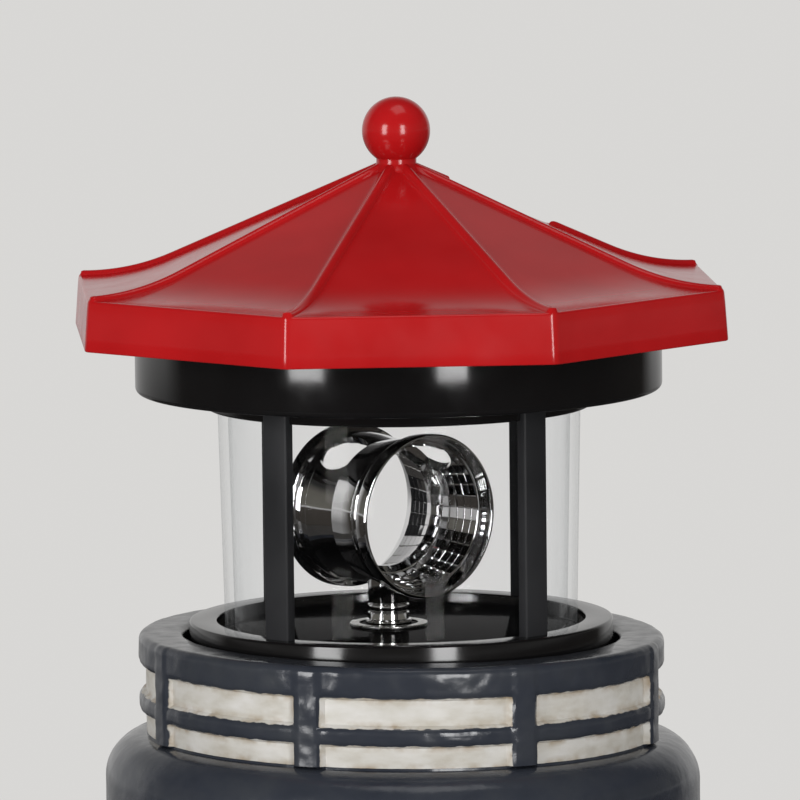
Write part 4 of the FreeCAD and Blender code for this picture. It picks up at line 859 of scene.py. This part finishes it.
def roofShape():
    # The shell with its finial and, in one facet, a recess with a tray below it for the solar panel.
    bed = panel["recess"] + panel["thickness"]
    tray = panel["trayWall"]
    playApothem = panel["play"] * math.cos(roof["slope"])
    low, high = panel["low"] - playApothem, panel["high"] + playApothem
    wide = panel["width"] + 2 * panel["play"]
    whole = cutBy(roofOuter(), [facetBlock(wide, low, high, -4.0, bed)])
    trayParts = [facetBlock(wide + 2 * tray, low - tray, high + tray, bed, bed + panel["seat"])]
    trimSolid = roofTrim()
    for sideways in (-1, 1):
        wallBox = boxShape((sideways * wide / 2 - tray / 2 + sideways * tray / 2, -40.0, -bed - 0.5),
                           (sideways * wide / 2 + tray / 2 + sideways * tray / 2, 2.0, 0.0))
        trayParts.append(onFacet(wallBox, low))
    trayParts.append(facetBlock(wide + 2 * tray, low - tray, low, 0.0, bed + 0.5))
    trayParts.append(facetBlock(wide + 2 * tray, high, high + tray, 0.0, bed + 0.5))
    trimmed = [cutBy(part, [trimSolid.copy()], "INTERSECT") for part in trayParts]
    return joined([whole] + trimmed + [finialShape()])


def finialShape():
    neck, ball, ballZ = roof["neckRadius"], roof["ballRadius"], roof["ballZ"]
    neckZ = facetHeight(neck) - 1.2
    line = [(0, neckZ), (neck, neckZ)]
    line += softened([(neck + 1.2, neckZ), (neck + 0.9, neckZ + 1.0, 0.5), (neck, neckZ + 2.2, 0.8),
                      (neck, neckZ + 3.5)], 3, False)
    start = math.asin(neck / ball)
    for step in range(40):
        angle = math.pi - start - (math.pi - start) * step / 39
        line.append((ball * math.sin(angle), ballZ + ball * math.cos(angle)))
    line[-1] = (0, ballZ + ball)
    return spun(line, 96, False)


def roofTrim():
    # A plain solid just under the roof's outer face, used to trim the tray below the panel.
    reach = 70.0
    rise = reach * math.tan(roof["slope"])
    shape = bmesh.new()
    bmesh.ops.create_cone(shape, cap_ends=True, cap_tris=False, segments=8,
                          radius1=reach / math.cos(roof["half"]) * mm, radius2=0.001 * mm, depth=rise * mm)
    return moved(shape, turnedTo(22.5, 0, 0, facetHeight(0) - 0.25 - rise / 2))


addPiece("roof_shell", roofShape(), redGloss, "lantern", ["roof_shell"], 30)
print("roof done")


def panelShape():
    # Four cells on a slab, each with a contact strip along its middle.
    recess = panel["recess"]
    bed = recess + panel["thickness"]
    slab = facetBlock(panel["width"], panel["low"], panel["high"], recess, bed, 0.3)
    cells, strips = [], []
    cosine = math.cos(roof["slope"])
    for number in range(panel["cells"]):
        low = panel["low"] + (1.4 + 9.0 * number) * cosine
        high = low + 8.4 * cosine
        cells.append(facetBlock(panel["width"] - 3.0, low, high, recess - 0.06, recess + 0.3))
        middle = (low + high) / 2
        strips.append(facetBlock(panel["width"] - 3.4, middle - 0.35, middle + 0.35,
                                 recess - 0.09, recess))
    return joined([slab] + cells + strips)


addPiece("solar_panel", panelShape(), solarBlue, "lantern", ["solar_panel"])


beacon = {"axisZ": 273.1, "heading": 34.1, "length": 13.7, "rim": 16.5, "waist": 14.2, "body": 15.2,
          "throat": 11.2, "mouth": 14.6, "mouthDepth": 3.0, "mouthRim": 15.8, "rows": 6, "columns": 36,
          "windowRadius": 5.0, "windowOffset": 4.0, "windowTurn": math.radians(-33.0)}


def aroundBeam(shape, reverse):
    direction = headingVector(beacon["heading"] + (180 if reverse else 0))
    lay = Matrix.Rotation(math.pi / 2, 4, "Y")
    turn = Matrix.Rotation(math.atan2(direction.y, direction.x), 4, "Z")
    place = Matrix.Translation((shaftX * mm, 0, beacon["axisZ"] * mm))
    return moved(shape, place @ turn @ lay)


def windowTool():
    # A round window through one side of the cup, off its top.
    radius = beacon["windowRadius"]
    tool = spun([(0, 4.0), (radius, 4.0), (radius, 20.0), (0, 20.0)], 64, False)
    lean = Matrix.Rotation(beacon["windowTurn"], 4, "X")
    return moved(tool, Matrix.Translation((beacon["windowOffset"] * mm, 0, 0)) @ lean)


def cupShape(reverse):
    # Drawn upright: height is the distance from the waist towards the rim.
    length = beacon["length"]
    cellEnd = length - beacon["mouthDepth"]
    mouthRim = beacon["mouthRim"]
    shellLine = softened([(12.9, 0.0), (beacon["waist"], 0.0), (14.75, 4.0, 6.0),
                          (beacon["body"], 7.5, 0.25), (14.5, 7.7, 0.2), (14.85, 10.3, 0.2),
                          (16.35, 10.5, 0.35), (beacon["rim"], length, 0.45),
                          (mouthRim, length, 0.2), (mouthRim - 0.55, length - 1.3, 3.0),
                          (beacon["mouth"] + 0.02, cellEnd + 0.02),
                          (14.55, 10.0), (14.2, 7.7), (13.4, 4.0)], 4)
    lay = Matrix.Rotation(math.pi / 2, 4, "Y")
    window = windowTool()
    shell = cutBy(moved(spun(shellLine, 192), lay), [window.copy()])
    liner = cutBy(moved(cupLiner(), lay), [window])
    return aroundBeam(moved(joined([shell, liner]), lay.inverted()), reverse)


def linerRadius(share):
    share = max(0.0, min(1.0, share))
    return beacon["throat"] + (beacon["mouth"] - beacon["throat"]) * math.sqrt(share)


def cupLiner():
    # Rows of small flat mirrors, each set in a shallow frame.
    length = beacon["length"] - beacon["mouthDepth"]
    rows = beacon["rows"]
    line = []
    for row in range(rows):
        line.append((linerRadius(row / rows) + (0.044 if row else 0.0), length * row / rows + 0.02))
        line.append((linerRadius((row + 1) / rows) - 0.12, length * (row + 1) / rows))
    back = [(beacon["mouth"] + 0.1, length), (14.62, 10.0), (14.25, 7.6), (13.5, 4.0), (13.0, 0.0)]
    shape = spun(line + back, beacon["columns"])
    mirrors = []
    for face in shape.faces:
        middle = face.calc_center_median() / mm
        inside = math.hypot(middle.x, middle.y) < linerRadius(middle.z / length) + 0.05
        if inside and 0 < middle.z < length and face.calc_area() > 1.2 * mm * mm:
            mirrors.append(face)
    bmesh.ops.inset_individual(shape, faces=mirrors, thickness=0.22 * mm, depth=0.12 * mm)
    return shape


addPiece("front_reflector_cup", cupShape(False), chrome, "beacon",
         ["front_reflector_cup"], 24)
addPiece("rear_reflector_cup", cupShape(True), chrome, "beacon",
         ["rear_reflector_cup"], 24)

shaft = {"radius": 4.1, "bore": 3.0, "low": 238.0, "high": 260.2, "collar": 4.6, "collarZ": 250.45,
         "collarHeight": 0.9, "grooves": (2.2, 3.8), "grooveDepth": 0.35}
collarZ = shaft["collarZ"]
shaftLine = [(shaft["bore"], shaft["low"]), (shaft["radius"], shaft["low"]), (shaft["radius"], collarZ),
             (shaft["collar"], collarZ, 0.1), (shaft["collar"], collarZ + shaft["collarHeight"], 0.25),
             (shaft["radius"], collarZ + shaft["collarHeight"], 0.1)]
for groove in shaft["grooves"]:
    inner = shaft["radius"] - shaft["grooveDepth"]
    shaftLine += [(shaft["radius"], collarZ + groove, 0.08), (inner, collarZ + groove + 0.1, 0.08),
                  (inner, collarZ + groove + 0.4, 0.08), (shaft["radius"], collarZ + groove + 0.5, 0.08)]
shaftLine += [(shaft["radius"], shaft["high"]), (shaft["bore"], shaft["high"])]
addPiece("beacon_shaft", moved(spun(softened(shaftLine, 3), 128), turnedTo(0, shaftX)), chrome,
         "beacon", ["beacon_shaft"])

lamp = {"radius": 2.45, "foot": 253.3, "domeZ": 259.45}
lampLine = [(0, lamp["foot"]), (lamp["radius"], lamp["foot"]), (lamp["radius"], lamp["domeZ"])]
for step in range(1, 13):
    angle = math.pi / 2 * step / 12
    lampLine.append((lamp["radius"] * math.cos(angle), lamp["domeZ"] + lamp["radius"] * math.sin(angle)))
lampLine[-1] = (0, lamp["domeZ"] + lamp["radius"])
addPiece("lamp", moved(spun(lampLine, 64, False), turnedTo(0, shaftX)), lampClear, "lantern",
         ["lamp"])
print("beacon done")


carried = {
    "black_satin": (blackSatin, ["mechanism_case", "battery_door", "battery_holder", "switch_body",
                                 "switch_knob"]),
    "screws": (screwSteel, ["case_screws", "battery_door_screw", "gear_plate_screws", "motor_screws",
                            "roof_screws", "battery_spring", "battery_contact", "idler_axle"]),
    "motor": (motorSteel, ["motor_can", "motor_shaft"]),
    "gears": (nylonWhite, ["motor_pinion", "idler_gear", "drive_gear"]),
    "frame": (greyFrame, ["gear_plate", "lamp_stem"]),
    "cell": (cellWrap, ["battery_cell"]),
    "board": (boardGreen, ["circuit_board"]),
    "leads": (leadJacket, ["panel_lead", "lamp_lead", "motor_lead", "battery_leads"]),
}
for finish, names in carried.values():
    for name in names:
        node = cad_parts[name]
        node.data.materials.clear()
        node.data.materials.append(finish)


backdropTone = (0.690, 0.682, 0.668)
floorTone = (0.66, 0.655, 0.645)
mirroredFloorTone = (0.04, 0.036, 0.032)    # the floor's colour for glossy rays


def floorFinish():
    # Pale floor that keeps the shadow near the ornament and fades into the background further out.
    finish, tree, shader = newFinish("pale_floor", floorTone, 0.7)
    output = tree.nodes["Material Output"]
    tree.links.new(remap(tree, cloud(tree, 30, 3), 0.3, 0.7, 0.66, 0.75), shader.inputs["Roughness"])
    place = tree.nodes.new("ShaderNodeTexCoord")
    length = tree.nodes.new("ShaderNodeVectorMath")
    length.operation = "LENGTH"
    tree.links.new(place.outputs["Object"], length.inputs[0])
    fade = remap(tree, length.outputs["Value"], 0.25, 0.75, 0.0, 1.0)
    glow = tree.nodes.new("ShaderNodeEmission")
    glow.inputs["Color"].default_value = (*backdropTone, 1)
    rays = tree.nodes.new("ShaderNodeLightPath")
    seen = combine(tree, "MAXIMUM", rays.outputs["Is Camera Ray"], rays.outputs["Is Transmission Ray"])
    tree.links.new(mixColours(tree, rays.outputs["Is Glossy Ray"], floorTone, mirroredFloorTone),
                   shader.inputs["Base Color"])
    mix = tree.nodes.new("ShaderNodeMixShader")
    tree.links.new(combine(tree, "MULTIPLY", fade, seen), mix.inputs["Fac"])
    tree.links.new(shader.outputs[0], mix.inputs[1])
    tree.links.new(glow.outputs[0], mix.inputs[2])
    tree.links.new(mix.outputs[0], output.inputs["Surface"])
    return finish


floorShape = bmesh.new()
bmesh.ops.create_circle(floorShape, cap_ends=True, segments=96, radius=0.8)
floorMesh = bpy.data.meshes.new("floor")
floorShape.to_mesh(floorMesh)
floorShape.free()
floorMesh.materials.append(floorFinish())
floor = bpy.data.objects.new("floor", floorMesh)
bpy.context.scene.collection.objects.link(floor)
floor.location.z = -0.0002


def grey(level):
    return (level, level * 0.99, level * 0.975)


def studioWorld():
    # Pale to the camera; gloss sees a pale wall behind the ornament and a darker room in front.
    world = bpy.data.worlds.new("studio")
    world.use_nodes = True
    bpy.context.scene.world = world
    tree = world.node_tree
    back = tree.nodes["Background"]
    place = tree.nodes.new("ShaderNodeTexCoord")
    split = tree.nodes.new("ShaderNodeSeparateXYZ")
    tree.links.new(place.outputs["Generated"], split.inputs[0])
    height = remap(tree, split.outputs["Z"], -1, 1, 0, 1)
    behind = ramp(tree, height, [(0.0, grey(0.10)), (0.40, grey(0.22)), (0.47, grey(0.62)),
                                 (0.62, grey(0.65)), (0.76, grey(0.34)), (0.87, grey(0.09)),
                                 (0.94, grey(0.035))])
    front = ramp(tree, height, [(0.0, (0.02, 0.018, 0.016)), (0.488, (0.045, 0.040, 0.035)),
                                (0.494, grey(0.40)), (0.501, grey(0.40)), (0.507, (0.12, 0.115, 0.10)),
                                (0.64, (0.10, 0.095, 0.082)), (0.70, grey(0.02))])
    rightShare = combine(tree, "MAXIMUM", split.outputs["X"], 0.0)
    reach = combine(tree, "MULTIPLY_ADD", rightShare, -0.3, split.outputs["Y"])
    depth = remap(tree, reach, 0.40, 0.60, 0.0, 1.0)
    gloss = mixColours(tree, depth, front, behind)
    rays = tree.nodes.new("ShaderNodeLightPath")
    soft = mixColours(tree, rays.outputs["Is Glossy Ray"], (0.42, 0.42, 0.424), gloss)
    seen = combine(tree, "MAXIMUM", rays.outputs["Is Camera Ray"], rays.outputs["Is Transmission Ray"])
    tree.links.new(mixColours(tree, seen, soft, backdropTone), back.inputs["Color"])
    back.inputs["Strength"].default_value = 1.0


studioWorld()


lights = {   # heading, elevation, width, height, watts
    "left_window": (-44.0, 9.0, 0.60, 1.15, 23),
    "right_window": (19.0, 9.0, 0.50, 1.15, 21),
    "overhead": (30.0, 80.0, 1.2, 1.2, 6),
}
view = {"target": (0, 0, 0.29522), "heading": -3.93, "elevation": 6.57, "distance": 1.8, "roll": -0.61,
        "lens": 405.66, "shift": 0.0014}


def towards(heading, elevation):
    rise = math.radians(elevation)
    return headingVector(heading) * math.cos(rise) + Vector((0, 0, math.sin(rise)))


def softLight(name, heading, elevation, width, height, watts):
    light = bpy.data.lights.new(name, "AREA")
    light.shape = "RECTANGLE"
    light.size = width
    light.size_y = height
    light.energy = watts
    thing = bpy.data.objects.new(name, light)
    bpy.context.scene.collection.objects.link(thing)
    aim = towards(heading, elevation)
    thing.location = Vector((0, 0, 0.27)) + aim * 2.2
    thing.rotation_euler = (-aim).to_track_quat("-Z", "Y").to_euler()


for name, settings in lights.items():
    softLight(name, *settings)


def addCamera():
    lens = bpy.data.cameras.new("camera")
    lens.lens = view["lens"]
    lens.sensor_width = 36.0
    lens.shift_x = view["shift"]
    lens.clip_start = 0.05
    lens.clip_end = 60.0
    camera = bpy.data.objects.new("camera", lens)
    bpy.context.scene.collection.objects.link(camera)
    aim = towards(view["heading"], view["elevation"])
    camera.location = Vector(view["target"]) + aim * view["distance"]
    camera.rotation_mode = "QUATERNION"
    roll = Quaternion((0, 0, 1), math.radians(view["roll"]))
    camera.rotation_quaternion = (-aim).to_track_quat("-Z", "Y") @ roll
    bpy.context.scene.camera = camera


addCamera()
bpy.context.scene.view_settings.view_transform = "Standard"
print("stage done")
